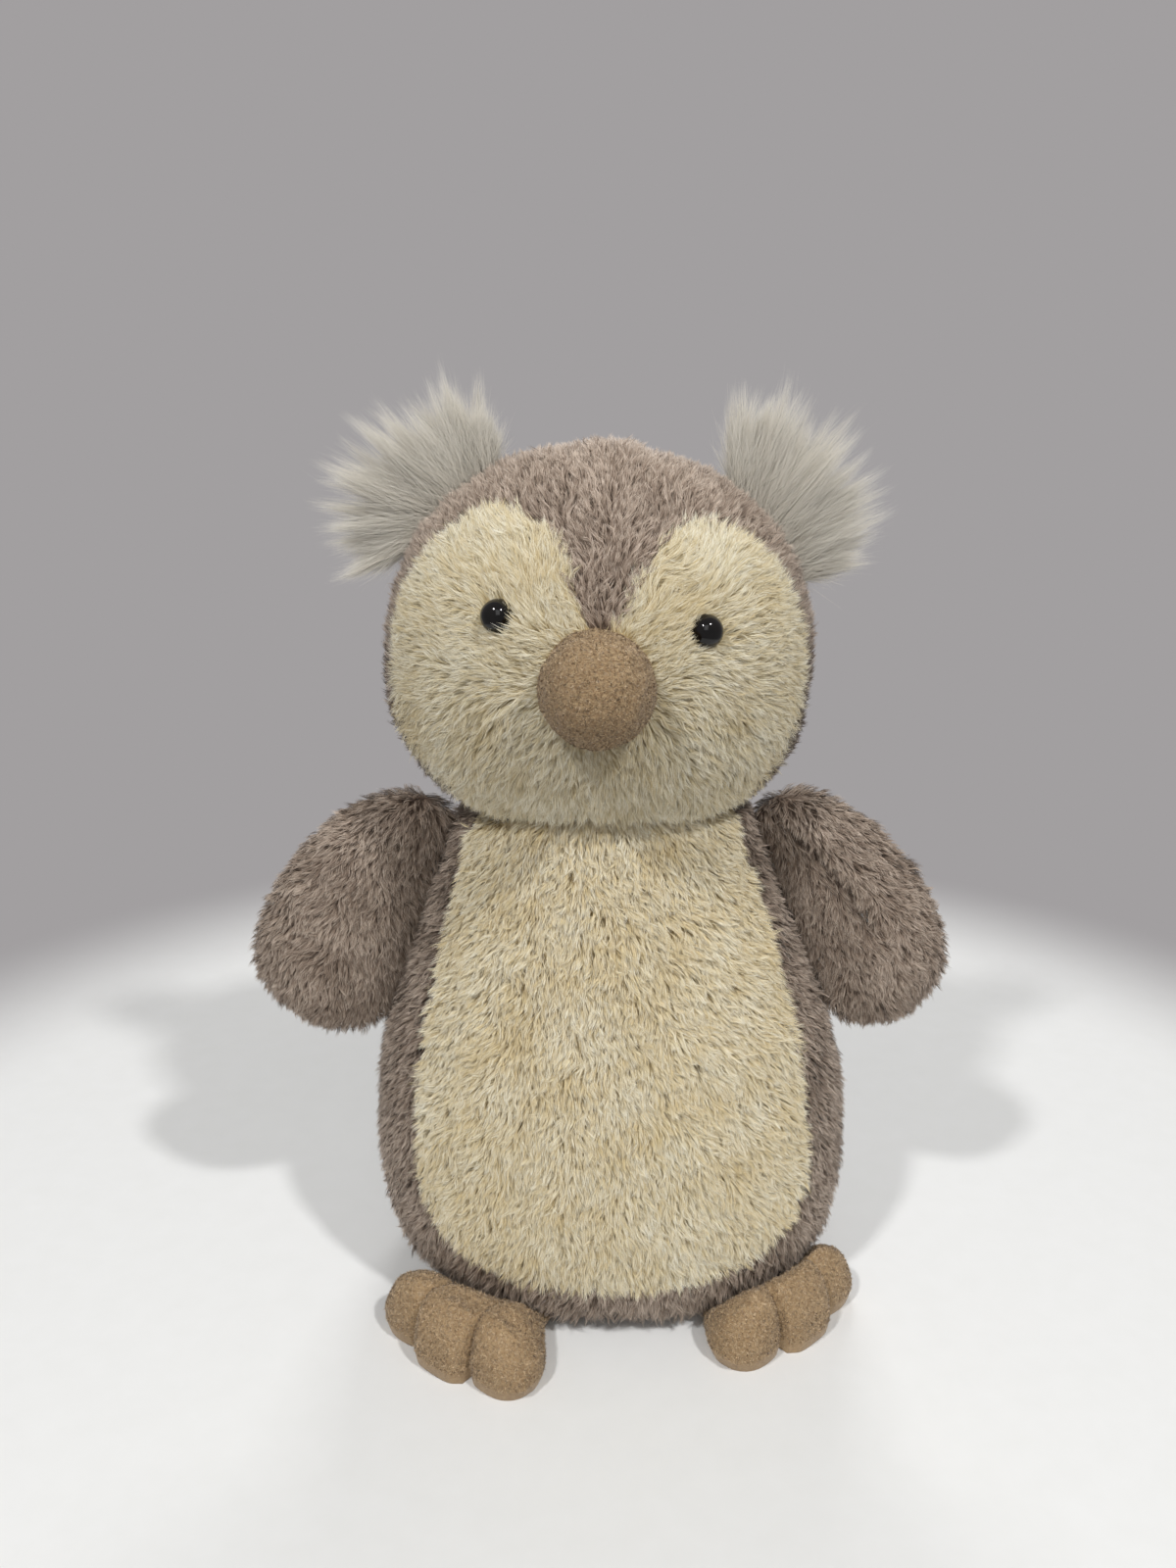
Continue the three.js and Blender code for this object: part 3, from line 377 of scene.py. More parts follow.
def crown_panel(side, rows, columns):
    every = FACE_STEPS + CROWN_STEPS
    step = np.linspace(0, every, rows)
    turn = lerp(CHIN_EDGE, NAPE_EDGE, np.clip((step - FACE_STEPS) / CROWN_STEPS, 0, 1))
    on_neck = aim_of(turn, chin_lift(side * turn))
    on_face = face_edge(np.minimum(step, FACE_STEPS))
    low = np.where((step < FACE_STEPS)[:, None], on_face, on_neck)
    over = aim_of(0, lerp(FACE_EDGE[0][1], 180 - chin_lift(180), step / every))
    return head_panel(low, over, columns, side)


def beak_line():
    start = from_head(np.array([0, -HEAD_FRONT, BEAK_HEIGHT]))
    return start, aimed(np.array([0, -math.cos(BEAK_DROOP), -math.sin(BEAK_DROOP)]))


def eye_line(side):
    place, out = head_outside(aim_of(side * EYE_TURN, EYE_LIFT))
    return from_head(place), aimed(out)


def ear_base(share, side):
    place, out = head_outside(aim_of(side * EAR_TURN, lerp(EAR_TOP_LIFT, EAR_LOW_LIFT, share)))
    return place + out * 0.6


def wing_axes(side):
    """The top of a wing's seam, and its ways down the seam, out from the body and forward."""
    turn = np.array(side * math.radians(WING_TURN))
    seats = []
    for height in (WING_TOP, WING_LOW):
        share = np.array(height / BODY_HEIGHT)
        seats.append(body_outside(turn, share) + WING_SEAT * body_facing(turn, share))
    top, low = seats
    low[1] = top[1]
    down, front = unit(low - top), np.array([0, -1, 0])
    return top, down, unit(np.cross(down, front)) * -side, front


def wing_sheet(side, face, half, s, t):
    """A sheet of a wing: s runs across it from the body, t from its top to its end."""
    top, down, out, front = wing_axes(side)
    share = (1 - np.cos(math.pi * t)) / 2
    inner, outer = np.moveaxis(read_rows(WING_ROWS, share), -1, 0)
    along = np.sqrt(np.maximum(0, 1 - np.abs(2 * share - 1) ** WING_END_SQUARENESS))
    swell = np.maximum(0, np.sin(math.pi * s**WING_PUFF_SKEW)) ** WING_PUFF_ROUNDNESS
    thick = half * along * lerp(WING_TOP_SHARE, 1, share) * swell
    outer_edge = WING_WIDTH - WING_OUTER_INSETS[side]
    across = lerp(WING_INNER_INSET, outer_edge, lerp(inner, outer, s))[..., None]
    reach = lerp(WING_TOP_INSET, WING_LENGTH - WING_LOW_INSET, share)[..., None]
    return top + down * reach + out * across + front * (face * thick)[..., None]


def belly_height(x, y):
    """How high the body's outside is above a place on the floor under its belly."""
    turn = np.arctan2(x, -y)
    far = np.hypot(x, y)

    def reach(share):
        return np.hypot(*np.moveaxis(body_outside(turn, share)[..., :2], -1, 0))

    share = crossing(0, 0.28, far.shape, lambda share: reach(share) - far)
    return np.where(far > reach(np.full(far.shape, 0.27)), 1e3, share * BODY_HEIGHT)


def toe_rise(across, along, from_groove):
    """How high three toes rise, as a share of the foot's thickness."""
    dome = np.sqrt(np.maximum(0, 1 - across**4))
    past = np.maximum(0, (along - FOOT_CREST) / (1 - FOOT_CREST))
    crest = lerp(FOOT_ROOT_FULLNESS, 1, np.minimum(1, along / FOOT_CREST)) * np.sqrt(1 - past**2)
    valley = TOE_VALLEY * bell(from_groove, TOE_VALLEY_REACH)
    valley = valley + TOE_STITCH * bell(from_groove, TOE_STITCH_REACH)
    return crest * dome * (1 - valley / FOOT_THICKNESS * smooth(along, -0.15, 0.3))


def foot_sheet(word, s, t, upper):
    """A foot's upper or sole, and how far each of its points is from a groove.

    s runs across the three toes, t from the seam at the foot's root to the toe tips.
    """
    side, spread, splay, tuck = FEET[word]
    toe = np.clip(np.floor(s * 3), 0, 2)
    which = toe - 1
    across = (2 * which - np.cos(math.pi * (3 * s - toe))) / 3
    along = np.sin(math.pi / 2 * t)
    half = lerp(FOOT_SEAM_WIDTH, FOOT_TOE_WIDTH, smooth(along, 0, FOOT_WIDEST)) / 2
    from_groove = np.minimum(np.abs(across - 1 / 3), np.abs(across + 1 / 3)) * half
    notch = TOE_NOTCH * bell(from_groove, TOE_NOTCH_REACH)
    to_corner = np.maximum(0, (np.abs(across) - FOOT_CORNER_START) / (1 - FOOT_CORNER_START))
    corner = FOOT_CORNER * to_corner**2.5
    end = TOE_END * np.abs(3 * across - 2 * which) ** 3
    tip = FOOT_LENGTH - FOOT_SET_BACK * which**2 - notch - corner - end
    rise = toe_rise(across, along, from_groove)
    x, y = across * half, tuck - along * tip
    half_base = body_outside(math.pi / 2, BASE_SHARE)[0]
    seat_y = body_outside(np.array(math.asin(spread / half_base)), BASE_SHARE)[1]
    px = side * spread + x * math.cos(splay) - y * math.sin(splay)
    py = seat_y - FOOT_SEAT + x * math.sin(splay) + y * math.cos(splay)
    if upper:
        height = FOOT_RIM + (FOOT_THICKNESS - FOOT_RIM) * rise
        room = np.maximum(1.5, np.minimum(belly_height(px, py), 80) + ROOT_COVER)
        both = np.exp(-height / ROOT_SOFTNESS) + np.exp(-room / ROOT_SOFTNESS)
        height = -ROOT_SOFTNESS * np.log(both)  # the lower of the two, rounded where they cross
    else:
        height = FOOT_RIM * (1 - np.minimum(1, SOLE_CURL * rise) ** 1.5)
    return np.stack([px, py, height], -1), from_groove


# ---- materials


def srgb(red, green, blue):
    def linear(value):
        value /= 255
        return value / 12.92 if value <= 0.04045 else ((value + 0.055) / 1.055) ** 2.4

    return (linear(red), linear(green), linear(blue), 1)


def maths(operation, reflected=False):
    """A method of Value that adds a maths node."""

    def method(self, *others):
        terms = (*others, self) if reflected else (self, *others)
        return self.look.node("Math", dict(enumerate(terms)), operation=operation)

    return method


class Value:
    """A socket that takes part in sums."""

    def __init__(self, look, socket):
        self.look, self.socket = look, socket

    __add__ = __radd__ = maths("ADD")
    __sub__, __rsub__ = maths("SUBTRACT"), maths("SUBTRACT", reflected=True)
    __mul__ = __rmul__ = maths("MULTIPLY")
    __abs__, at_most, or_else = maths("ABSOLUTE"), maths("MINIMUM"), maths("MAXIMUM")


class Look:
    """The nodes of a material or of the world, in the making."""

    def __init__(self, owner):
        self.owner = owner
        owner.use_nodes = True
        self.tree = owner.node_tree
        self.tree.nodes.clear()

    def node(self, kind, inputs=None, out=0, **settings):
        node = self.tree.nodes.new(f"ShaderNode{kind}")
        for name, value in settings.items():
            if name == "stops":
                ramp = node.color_ramp
                while len(ramp.elements) < len(value):
                    ramp.elements.new(0.5)
                for element, (position, colour) in zip(ramp.elements, value):
                    element.position, element.color = position, srgb(*colour)
            else:
                setattr(node, name, value)
        for name, value in (inputs or {}).items():
            if isinstance(value, Value):
                self.tree.links.new(value.socket, node.inputs[name])
            else:
                node.inputs[name].default_value = value
        return Value(self, node.outputs[out]) if node.outputs else None

    def places(self):
        return self.node("TexCoord", out="Object")

    def attribute(self, name):
        return self.node("Attribute", out="Fac", attribute_name=name)

    def noise(self, scale, detail=3, rough=0.55, distortion=0.0, where=None):
        inputs = {"Scale": scale, "Detail": detail, "Roughness": rough, "Distortion": distortion}
        return self.node("TexNoise", {"Vector": where or self.places(), **inputs})

    def ramp(self, factor, *stops):
        return self.node("ValToRGB", {"Fac": factor}, stops=stops)

    def mix(self, factor, a, b, blend="MIX"):
        a, b = (end if isinstance(end, Value) else srgb(*end) for end in (a, b))
        inputs = {0: factor, 6: a, 7: b}
        return self.node("Mix", inputs, out=2, data_type="RGBA", blend_type=blend)

    def bump(self, height, strength, distance):
        inputs = {"Height": height, "Strength": strength, "Distance": distance * MM}
        return self.node("Bump", inputs)

    def shader(self, colour, roughness, **settings):
        inputs = {name.replace("_", " "): value for name, value in settings.items()}
        inputs.update({"Base Color": colour, "Roughness": roughness})
        return self.node("BsdfPrincipled", inputs)

    def finish(self, shader, end="OutputMaterial"):
        self.node(end, {"Surface": shader})
        return self.owner


def new_look(name):
    return Look(bpy.data.materials.new(name))


def pile_look(name, root, dull, bright, tip, sheen=0.25, roughness=0.62, gloss=0.3):
    """Plush fibres: each has its own tone, and pales from its root to its tip, as painted shade
    deep in the pile and a painted highlight at the tips.
    """
    look = new_look(name)
    rise, tone = look.attribute("rise"), look.attribute("tone")
    # Painted shade: each ramp darkens towards the root. Painted highlight: the paler ramp brightens
    # towards the tip.
    low = look.ramp(rise, (0.0, root), (0.5, dull), (1.0, dull))
    high = look.ramp(rise, (0.0, dull), (0.35, bright), (0.85, tip))
    colour = look.mix(tone, low, high)
    shader = look.shader(colour, roughness, Specular_IOR_Level=gloss, Sheen_Weight=sheen)
    return look.finish(shader)


def backing_look(name, dark, pale):
    """The knitted backing at the foot of the pile."""
    look = new_look(name)
    cloud, knit = look.noise(180, 4), look.noise(1400, 2)
    colour = look.mix(cloud * 0.7 + knit * 0.3, dark, pale)
    normal = look.bump(knit, 0.6, 0.5)
    return look.finish(look.shader(colour, 0.95, Normal=normal, Specular_IOR_Level=0.1))


def suedette_look(name, scale, parting, pale):
    """Short-napped cloth whose nap parts along short winding lines."""
    look = new_look(name)
    stretch = {"Vector": look.places(), "Scale": (0.7, 1.0, 1.4)}
    lying = look.node("Mapping", stretch, vector_type="POINT")
    winding = look.noise(scale, 1, 0.5, 1.2, lying)
    ridges = (abs(winding - 0.5) * 9.0).at_most(1.0)
    nap = ridges * parting + look.noise(2.6 * scale, 2, 0.6, 0.8) * (1 - parting)
    fibres = look.ramp(
        nap,
        (0.12, (140, 114, 84)),
        (0.42, (158, 132, 100)),
        (0.7, (170, 145, 111)),
        (0.95, (182, 158, 124)),
    )
    worn, fresh = (pale - 20, pale - 24, pale - 30), (pale, pale - 2, pale - 6)
    patchy = look.ramp(look.noise(60, 3, 0.5), (0.3, worn), (0.7, fresh))
    colour = look.mix(1.0, fibres, patchy, "MULTIPLY")
    rough = look.noise(900) * 0.15 + 0.75
    settings = {"Normal": look.bump(nap, 0.5, 0.25), "Specular IOR Level": 0.2}
    return look.finish(look.shader(colour, rough, Sheen_Weight=0.25, **settings))


def moulded_look(name, scale, dark, pale, cloudiness, roughness, gloss):
    """A hard finish, faintly clouded in tone and in roughness."""
    look = new_look(name)
    cloud = look.noise(scale, 3)
    colour = look.ramp(cloud, dark, pale)
    rough = cloud * cloudiness + roughness
    return look.finish(look.shader(colour, rough, Specular_IOR_Level=gloss))


def stuffing_look():
    look = new_look("loose polyester stuffing")
    wisps = look.noise(320, 5, 0.7, 1.2)
    colour = look.ramp(wisps, (0.3, (212, 211, 205)), (0.7, (246, 246, 242)))
    return look.finish(look.shader(colour, 0.95, Normal=look.bump(wisps, 0.8, 1.2)))


def pellet_look():
    look = new_look("woven pellet bag")
    threads = look.noise(900, 2)
    lumps = look.node("TexVoronoi", {"Vector": look.places(), "Scale": 330.0})
    colour = look.mix(threads, (196, 190, 176), (228, 223, 211))
    normal = look.bump(lumps * 0.7 + threads * 0.3, 0.6, 0.8)
    return look.finish(look.shader(colour, 0.9, Normal=normal))


def tab_look():
    look = new_look("ear seam cloth")
    threads = look.noise(1300, 2)
    colour = look.mix(threads, (150, 147, 140), (196, 193, 186))
    return look.finish(look.shader(colour, 0.95, Normal=look.bump(threads, 0.5, 0.3)))


Plush = namedtuple("Plush", "slot pile backing")  # a slot, and the looks of a pile and its backing
CREAM = Plush(
    "plush_cream",
    pile_look("cream pile", (222, 196, 142), (230, 210, 162), (246, 234, 200), (255, 252, 236)),
    backing_look("cream backing", (228, 206, 156), (240, 222, 176)),
)
# The face's pile: a little less warm than the cream, and darker all over as painted shade on the
# face.
SHADED_FACE_CREAM = CREAM._replace(
    pile=pile_look("face pile with painted shade", (206, 184, 134), (216, 198, 154), (234, 224, 192), (252, 250, 236))
)
TAUPE = Plush(
    "plush_taupe",
    pile_look("taupe pile", (98, 81, 68), (134, 115, 99), (176, 156, 138), (222, 205, 188)),
    backing_look("taupe backing", (106, 90, 78), (136, 118, 105)),
)
# Its greyer, darker root is painted shade at the base of the fans.
EAR_FUR = pile_look(
    "long white fur", (192, 183, 168), (212, 205, 191), (227, 222, 210), (249, 246, 238)
)
EAR_TAB = tab_look()
FOOT_CLOTH = suedette_look("napped tan suedette", 950, 0.45, 255)
# Its dark roots and pale tips are painted shade down in the nap and a painted highlight on it.
FOOT_NAP = pile_look(
    "foot nap", (98, 74, 48), (132, 105, 73), (196, 168, 129), (240, 214, 176), 0.15, 0.45, 0.55
)
# The beak's cloth is a little darker than the feet's, and its nap darker at the root, as painted
# shade on the beak. The nap's pale tips are a painted highlight.
BEAK_CLOTH = suedette_look("fine tan suedette", 800, 0.7, 248)
BEAK_NAP = pile_look(
    "beak nap", (62, 44, 26), (96, 73, 47), (186, 157, 118), (246, 220, 180), 0.1, 0.4, 0.6
)
BEAD = moulded_look(
    "polished black bead", 260, (0.35, (7, 6, 6)), (0.7, (16, 13, 12)), 0.08, 0.05, 0.4
)
WASHER = moulded_look(
    "milky moulded washer", 240, (0.3, (205, 205, 198)), (0.7, (226, 226, 220)), 0.1, 0.3, 0.5
)
INSIDES = {"stuffing": stuffing_look(), "washer": WASHER, "pellet": pellet_look()}


# ---- meshes


def placed(name, data):
    thing = bpy.data.objects.new(name, data)
    bpy.context.scene.collection.objects.link(thing)
    return thing


def piece(name, mesh, body, look, stands_for=()):
    """Puts a mesh in the scene as a piece of the owl."""
    mesh.materials.append(look)
    thing = placed(name, mesh)
    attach(thing, body)
    if stands_for:
        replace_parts(thing, *stands_for)
    return thing


def cover(name, body, cloth, backing, fill=None, wrap=False):
    """Puts a plush backing in the scene. One with a fill stands for the panel of its name."""
    stands_for = () if fill is None else (f"{name}_panel",)
    mesh = grid_mesh(f"{name} backing", [backing], wrap)
    piece(f"{name}_cover", mesh, body, cloth.backing, stands_for)


def mesh_of(name, points, counts, corners, map_corners):
    """A smooth mesh from points in millimetres, faces, and each corner's place on its bake map."""
    mesh = bpy.data.meshes.new(name)
    mesh.vertices.add(len(points))
    mesh.vertices.foreach_set("co", (points * MM).astype(np.float32).ravel())
    mesh.loops.add(len(corners))
    mesh.loops.foreach_set("vertex_index", corners.astype(np.int32))
    mesh.polygons.add(len(counts))
    starts = np.concatenate([[0], np.cumsum(counts)[:-1]])
    mesh.polygons.foreach_set("loop_start", starts.astype(np.int32))
    mesh.update(calc_edges=True)
    mesh.polygons.foreach_set("use_smooth", np.ones(len(counts), bool))
    flat = mesh.uv_layers.new(name="OFBake")
    flat.data.foreach_set("uv", map_corners.astype(np.float32).ravel())
    return mesh


def grid_mesh(name, sheets, wrap=False):
    """A mesh of grids of points, welded where they meet, each with its strip of the bake map."""
    points, corners, maps, start = [], [], [], 0
    for k, sheet in enumerate(sheets):
        rows, columns = sheet.shape[:2]
        number = start + np.arange(rows * columns).reshape(rows, columns)
        if wrap:
            number = np.concatenate([number, number[:, :1]], 1)
        ring = number[:-1, :-1], number[:-1, 1:], number[1:, 1:], number[1:, :-1]
        quads = np.stack(ring, -1)
        j, i = np.mgrid[0 : quads.shape[0], 0 : quads.shape[1]]
        i = i[..., None] + np.array([0, 1, 1, 0])
        j = j[..., None] + np.array([0, 0, 1, 1])
        across = 0.01 + 0.98 * i / quads.shape[1]
        along = (k + 0.01 + 0.98 * j / quads.shape[0]) / len(sheets)
        points.append(sheet.reshape(-1, 3))
        corners.append(quads.ravel())
        maps.append(np.stack([across, along], -1).reshape(-1, 2))
        start += rows * columns
    points, corners, maps = (np.concatenate(parts) for parts in (points, corners, maps))
    return welded(mesh_of(name, points, np.full(len(corners) // 4, 4), corners, maps))


def welded(mesh):
    work = bmesh.new()
    work.from_mesh(mesh)
    bmesh.ops.remove_doubles(work, verts=work.verts, dist=0.01 * MM)
    bmesh.ops.recalc_face_normals(work, faces=work.faces)
    work.to_mesh(mesh)
    work.free()
    return mesh


def facing_of(points, outward):
    """The facing of a grid of points, on the side of an outward direction."""
    facing = np.cross(np.gradient(points, axis=1), np.gradient(points, axis=0))
    facing = unit(facing + 1e-6 * outward)
    return facing * np.where(dot(facing, outward) < 0, -1, 1)


def backing_of(outside, out, seams=(0, -1)):
    """The backing of a plush panel, drawn in along the columns that are seams."""
    edges = [outside[:, [column]] for column in seams]
    to_seam = np.min([np.linalg.norm(outside - edge, axis=-1) for edge in edges], axis=0)
    lumps = LUMP * ripple(outside, LUMP_SIZE, 3)
    return outside - out * (PILE + SEAM_DIP * bell(to_seam, SEAM_REACH) - lumps)[..., None]


def lathe(profile, start, aim, steps):
    """Rings round a line: profile is rows of (radius, length along the line)."""
    aim = unit(aim)
    across = unit(np.cross(aim, UP))
    up = np.cross(across, aim)
    turn = around(steps)[:, None]
    ring = np.cos(turn) * across + np.sin(turn) * up
    profile = np.array(profile)
    return start + profile[:, 1, None, None] * aim + profile[:, :1, None] * ring[None]


# ---- fur

CELLS = 32  # of the bake map, each way; every strand of one tone shares a cell
MOST_FACES = 190_000  # of one mesh
FLOOR_CLEARANCE = 0.4
PILE_LEVELS, NAP_LEVELS = 3, 2  # points along a strand
SWAY, SWAY_SIZE = 0.35, 16  # how far the combing wanders, and in swirls of what size
UNEVEN_LEAN, UNEVEN_LENGTH, UNEVEN_AIM = 0.1, 0.1, 0.16  # from lock to lock
LOCK_TONES, STRAND_TONES = 0.18, 0.28
PATCH_TONES, PATCH_SIZE = 0.14, 24
ROOT_DEPTH = 0.4  # below the backing
ROOT_RISE = 0.75  # how straight a strand rises before it leans over
CURL = 0.1
TIP_SCATTER = 0.18
STRAND_WIDTHS = 0.75, 1.2  # times the usual one


def scatter(fields, per_square_mm, thinning, dice):
    """Spreads places evenly over a grid, and reads its fields there; the first three are points."""
    points = fields[..., :3]
    one, other = points[1:, 1:] - points[:-1, :-1], points[1:, :-1] - points[:-1, 1:]
    area = np.linalg.norm(np.cross(one, other), axis=-1) / 2
    wanted = area * per_square_mm * (thinning[1:, 1:] + thinning[:-1, :-1]) / 2
    ends = np.floor(np.cumsum(wanted.ravel()) + dice.random()).astype(int)
    cell = np.repeat(np.arange(area.size), np.diff(ends, prepend=0))
    j, i = np.divmod(cell, area.shape[1])
    x, y = dice.random((2, len(cell), 1))
    low = lerp(fields[j, i], fields[j, i + 1], x)
    high = lerp(fields[j + 1, i], fields[j + 1, i + 1], x)
    return lerp(low, high, y)


def strands_of(root, middle, tip, out, width, dice, levels, twist=0.5, ribbed=0.35, blunt=0.2):
    """Ribbons along curved lines, faced outwards: their points and the facings they shade by."""
    u = np.sqrt(np.linspace(0, 1, levels))[None, :, None]
    r, m, t = root[:, None], middle[:, None], tip[:, None]
    line = (1 - u) ** 2 * r + 2 * u * (1 - u) * m + u**2 * t
    along = unit(2 * (1 - u) * (m - r) + 2 * u * (t - m) + 1e-9)
    loose = unit(out + dice.normal(0, 0.25, out.shape))[:, None]
    flat = unit(np.cross(along, loose))
    angle = dice.normal(0, twist, (len(root), 1))[..., None]
    flat = flat * np.cos(angle) + np.cross(along, flat) * np.sin(angle)
    half = flat * (width[:, None, None] / 2) * (1 - u) ** blunt
    shade = unit(lerp(out[:, None], np.cross(flat, along), ribbed))
    left, right = line - half, line + half
    points = np.stack([left[:, :-1], right[:, :-1]], 2).reshape(len(root), -1, 3)
    rounded = [unit(shade - 0.35 * flat)[:, :-1], unit(shade + 0.35 * flat)[:, :-1]]
    shades = np.stack(rounded, 2).reshape(len(root), -1, 3)
    return np.concatenate([points, line[:, -1:]], 1), np.concatenate([shades, shade[:, -1:]], 1)


def put_strands(name, body, slot, look, points, shades, tone):
    """Puts strands in the scene, in pieces with a moderate number of faces; returns the last."""
    per = points.shape[1]
    levels = (per + 1) // 2
    parts = math.ceil(len(points) / (MOST_FACES // (2 * levels - 3)))
    quads = 2 * np.arange(levels - 2)[:, None] + np.array([0, 1, 3, 2])
    pattern = np.concatenate([quads.ravel(), [per - 3, per - 2, per - 1]])
    sizes = np.array([4] * (levels - 2) + [3])
    rise = np.append(np.repeat(np.linspace(0, 1, levels)[:-1], 2), 1.0)
    across = np.append(np.tile([0.2, 0.8], levels - 1), 0.5)
    tone = np.clip(tone, 0, 0.999)
    for part in range(parts):
        own = slice(part, None, parts)
        p, n = points[own], shades[own]
        cell = np.clip((tone[own] * CELLS**2).astype(int), 0, CELLS**2 - 1)
        count = len(p)
        corners = (np.arange(count)[:, None] * per + pattern).ravel()
        u = ((cell % CELLS)[:, None] + across) / CELLS
        v = ((cell // CELLS)[:, None] + 0.1 + 0.8 * rise) / CELLS
        maps = np.stack([u, v], -1).reshape(-1, 2)[corners]
        label = f"{name}_{part + 1}" if parts > 1 else name
        mesh = mesh_of(label, p.reshape(-1, 3), np.tile(sizes, count), corners, maps)
        tones = np.repeat((cell + 0.5) / CELLS**2, per)
        for attribute, values in (("rise", np.tile(rise, count)), ("tone", tones)):
            layer = mesh.attributes.new(attribute, "FLOAT", "POINT")
            layer.data.foreach_set("value", values.astype(np.float32))
        mesh.normals_split_custom_set_from_vertices(n.reshape(-1, 3))
        last = piece(label, mesh, body, look)
    return last


def plush(
    name, body, cloth, backing, out, flow, seed, length=7.0, thinning=1.0,
    locks=0.66, strands=7, lean=0.76, wild=0.5, clump=0.34, spread=0.46, width=0.26, uneven=0.1,
):
    """Grows a pile of clumped locks on a grid of backing, combed along a flow.

    locks counts them per square millimetre, and strands the strands in each. lean is in radians,
    wild is how far a lock strays from the flow, and its roots spread while its tips clump.
    """
    dice = np.random.default_rng(seed)
    shape = backing.shape[:2]
    length, thinning, lean = (np.broadcast_to(value, shape) for value in (length, thinning, lean))
    flow = np.broadcast_to(flow, backing.shape)
    fields = np.concatenate([backing, out, flow, length[..., None], lean[..., None]], -1)
    found = scatter(fields, locks, thinning, dice)
    count = len(found)
    root, out, flow, reach, lift = np.split(found, [3, 6, 9, 10], -1)
    out = unit(out)
    strength = np.linalg.norm(flow, axis=-1, keepdims=True)
    flow = flow + SWAY * swirls(root, SWAY_SIZE, seed) * strength
    way = turned(unit(flow - dot(flow, out) * out), out, dice.normal(0, wild, count))
    side = np.cross(out, way)
    lift = lift + dice.normal(0, UNEVEN_LEAN, (count, 1))
    reach = reach * (1 + dice.normal(0, UNEVEN_LENGTH, (count, 1)))
    astray = side * dice.normal(0, UNEVEN_AIM, (count, 1))
    aim = (np.cos(lift) * out + np.sin(lift) * way + astray) * reach
    tone = 0.5 + dice.normal(0, LOCK_TONES, count) + PATCH_TONES * ripple(root, PATCH_SIZE, seed)

    lock = np.repeat(np.arange(count), strands)  # the lock that each strand belongs to
    a, b = dice.normal(0, spread, (2, len(lock), 1))
    offset = a * way[lock] + b * side[lock]
    short = 1 - np.abs(dice.normal(0, uneven, (len(lock), 1)))
    start = root[lock] + offset - ROOT_DEPTH * out[lock]
    scattered = dice.normal(0, TIP_SCATTER, start.shape)
    tip = root[lock] + aim[lock] * short + offset * (1 - clump) + scattered
    bend = ROOT_RISE * np.cos(lift) * out + (1 - ROOT_RISE) * np.sin(lift) * way
    curl = side * dice.normal(0, CURL, (count, 1))
    middle = start + ((bend + curl) * reach)[lock] * short
    for line in (start, middle, tip):
        line[:, 2] = np.maximum(line[:, 2], FLOOR_CLEARANCE)
    tone = tone[lock] + dice.normal(0, STRAND_TONES, len(lock))
    wide = width * dice.uniform(*STRAND_WIDTHS, len(lock))
    strands = strands_of(start, middle, tip, out[lock], wide, dice, PILE_LEVELS)
    put_strands(name, body, cloth.slot, cloth.pile, *strands, tone)


def panel(name, body, cloth, fill, backing, out, flow, seed, **pile):
    """Puts a plush panel in the scene, its backing and then its pile."""
    cover(name, body, cloth, backing, fill)
    plush(f"{name}_pile", body, cloth, backing, out, flow, seed, **pile)


def nap(name, body, look, outside, out, seed, per_square_mm, length, width, crinkle):
    """Short fibres lying in small swirls on a grid of cloth."""
    dice = np.random.default_rng(seed)
    fields = np.concatenate([outside, out], -1)
    found = scatter(fields, per_square_mm, np.ones(outside.shape[:2]), dice)
    root, out = found[:, :3], unit(found[:, 3:])
    swirl = swirls(root, 1.8, seed)
    way = unit(swirl - dot(swirl, out) * out + 0.25 * dice.normal(size=root.shape))
    tip = root + (way * 0.97 + out * 0.2) * length * dice.uniform(0.6, 1.2, (len(root), 1))
    tone = 0.5 + 0.36 * ripple(root, 1.0, seed + 4) + dice.normal(0, 0.14, len(root))
    crinkled = unit(out + crinkle * swirls(root, 1.5, seed + 4))
    wide = width * dice.uniform(0.7, 1.2, len(root))
    root = root - 0.1 * out
    middle = (root + tip) / 2
    fibres = strands_of(root, middle, tip, crinkled, wide, dice, NAP_LEVELS, 0.2, 0.2)
    put_strands(name, body, "suedette_tan", look, *fibres, tone)


# ---- body


def build_tummy():
    edge = tummy_outline(110)
    outside, out = body_panel(edge * [-1, 1], edge, 96)
    fan = (outside[..., :1] - TUMMY_PARTING) * TUMMY_FAN
    flow = np.concatenate([fan, np.zeros_like(fan), np.full_like(fan, -1)], -1)
    panel(
        "body_tummy", "body", CREAM, 0.85, backing_of(outside, out), out, flow, 21, length=7.5,
        locks=0.95, lean=0.86, wild=0.3, clump=0.3, spread=0.5, width=0.24,
    )


def build_side(word, side):
    """A side panel, from the tummy round to the seam down the back."""
    edge = side_outline(120)
    up = lerp(BASE_RIM / BODY_HEIGHT, 1, np.linspace(0, 1, len(edge)) ** 1.3)
    back = np.stack([np.full(len(edge), math.pi), up], -1)
    outside, out = body_panel(edge * [side, 1], back * [side, 1], 120)
    skirt = 1 - smooth(outside[..., 2], SKIRT_LOW, SKIRT_HIGH)
    flow = np.array([0.12 * side, 0.1, -1.0])
    panel(
        f"body_{word}", "body", TAUPE, 0.85, backing_of(outside, out), out, flow, 31 + side,
        length=7.0 + 3.4 * skirt, locks=0.55, lean=0.76 + 0.34 * skirt, wild=0.4,
    )


def build_base():
    rim = around(96)
    edge = body_outside(rim, np.full(rim.shape, BASE_SHARE))
    share = np.linspace(0, 1, 26)[:, None, None]
    flat = edge[None] * np.array([1, 1, 0]) * share * BASE_TUCK
    seat = flat + UP * BASE_REST + UP * BASE_TURN_UP * smooth(share, 0.9, 1)
    cover("body_base", "body", TAUPE, seat, 0.5, wrap=True)


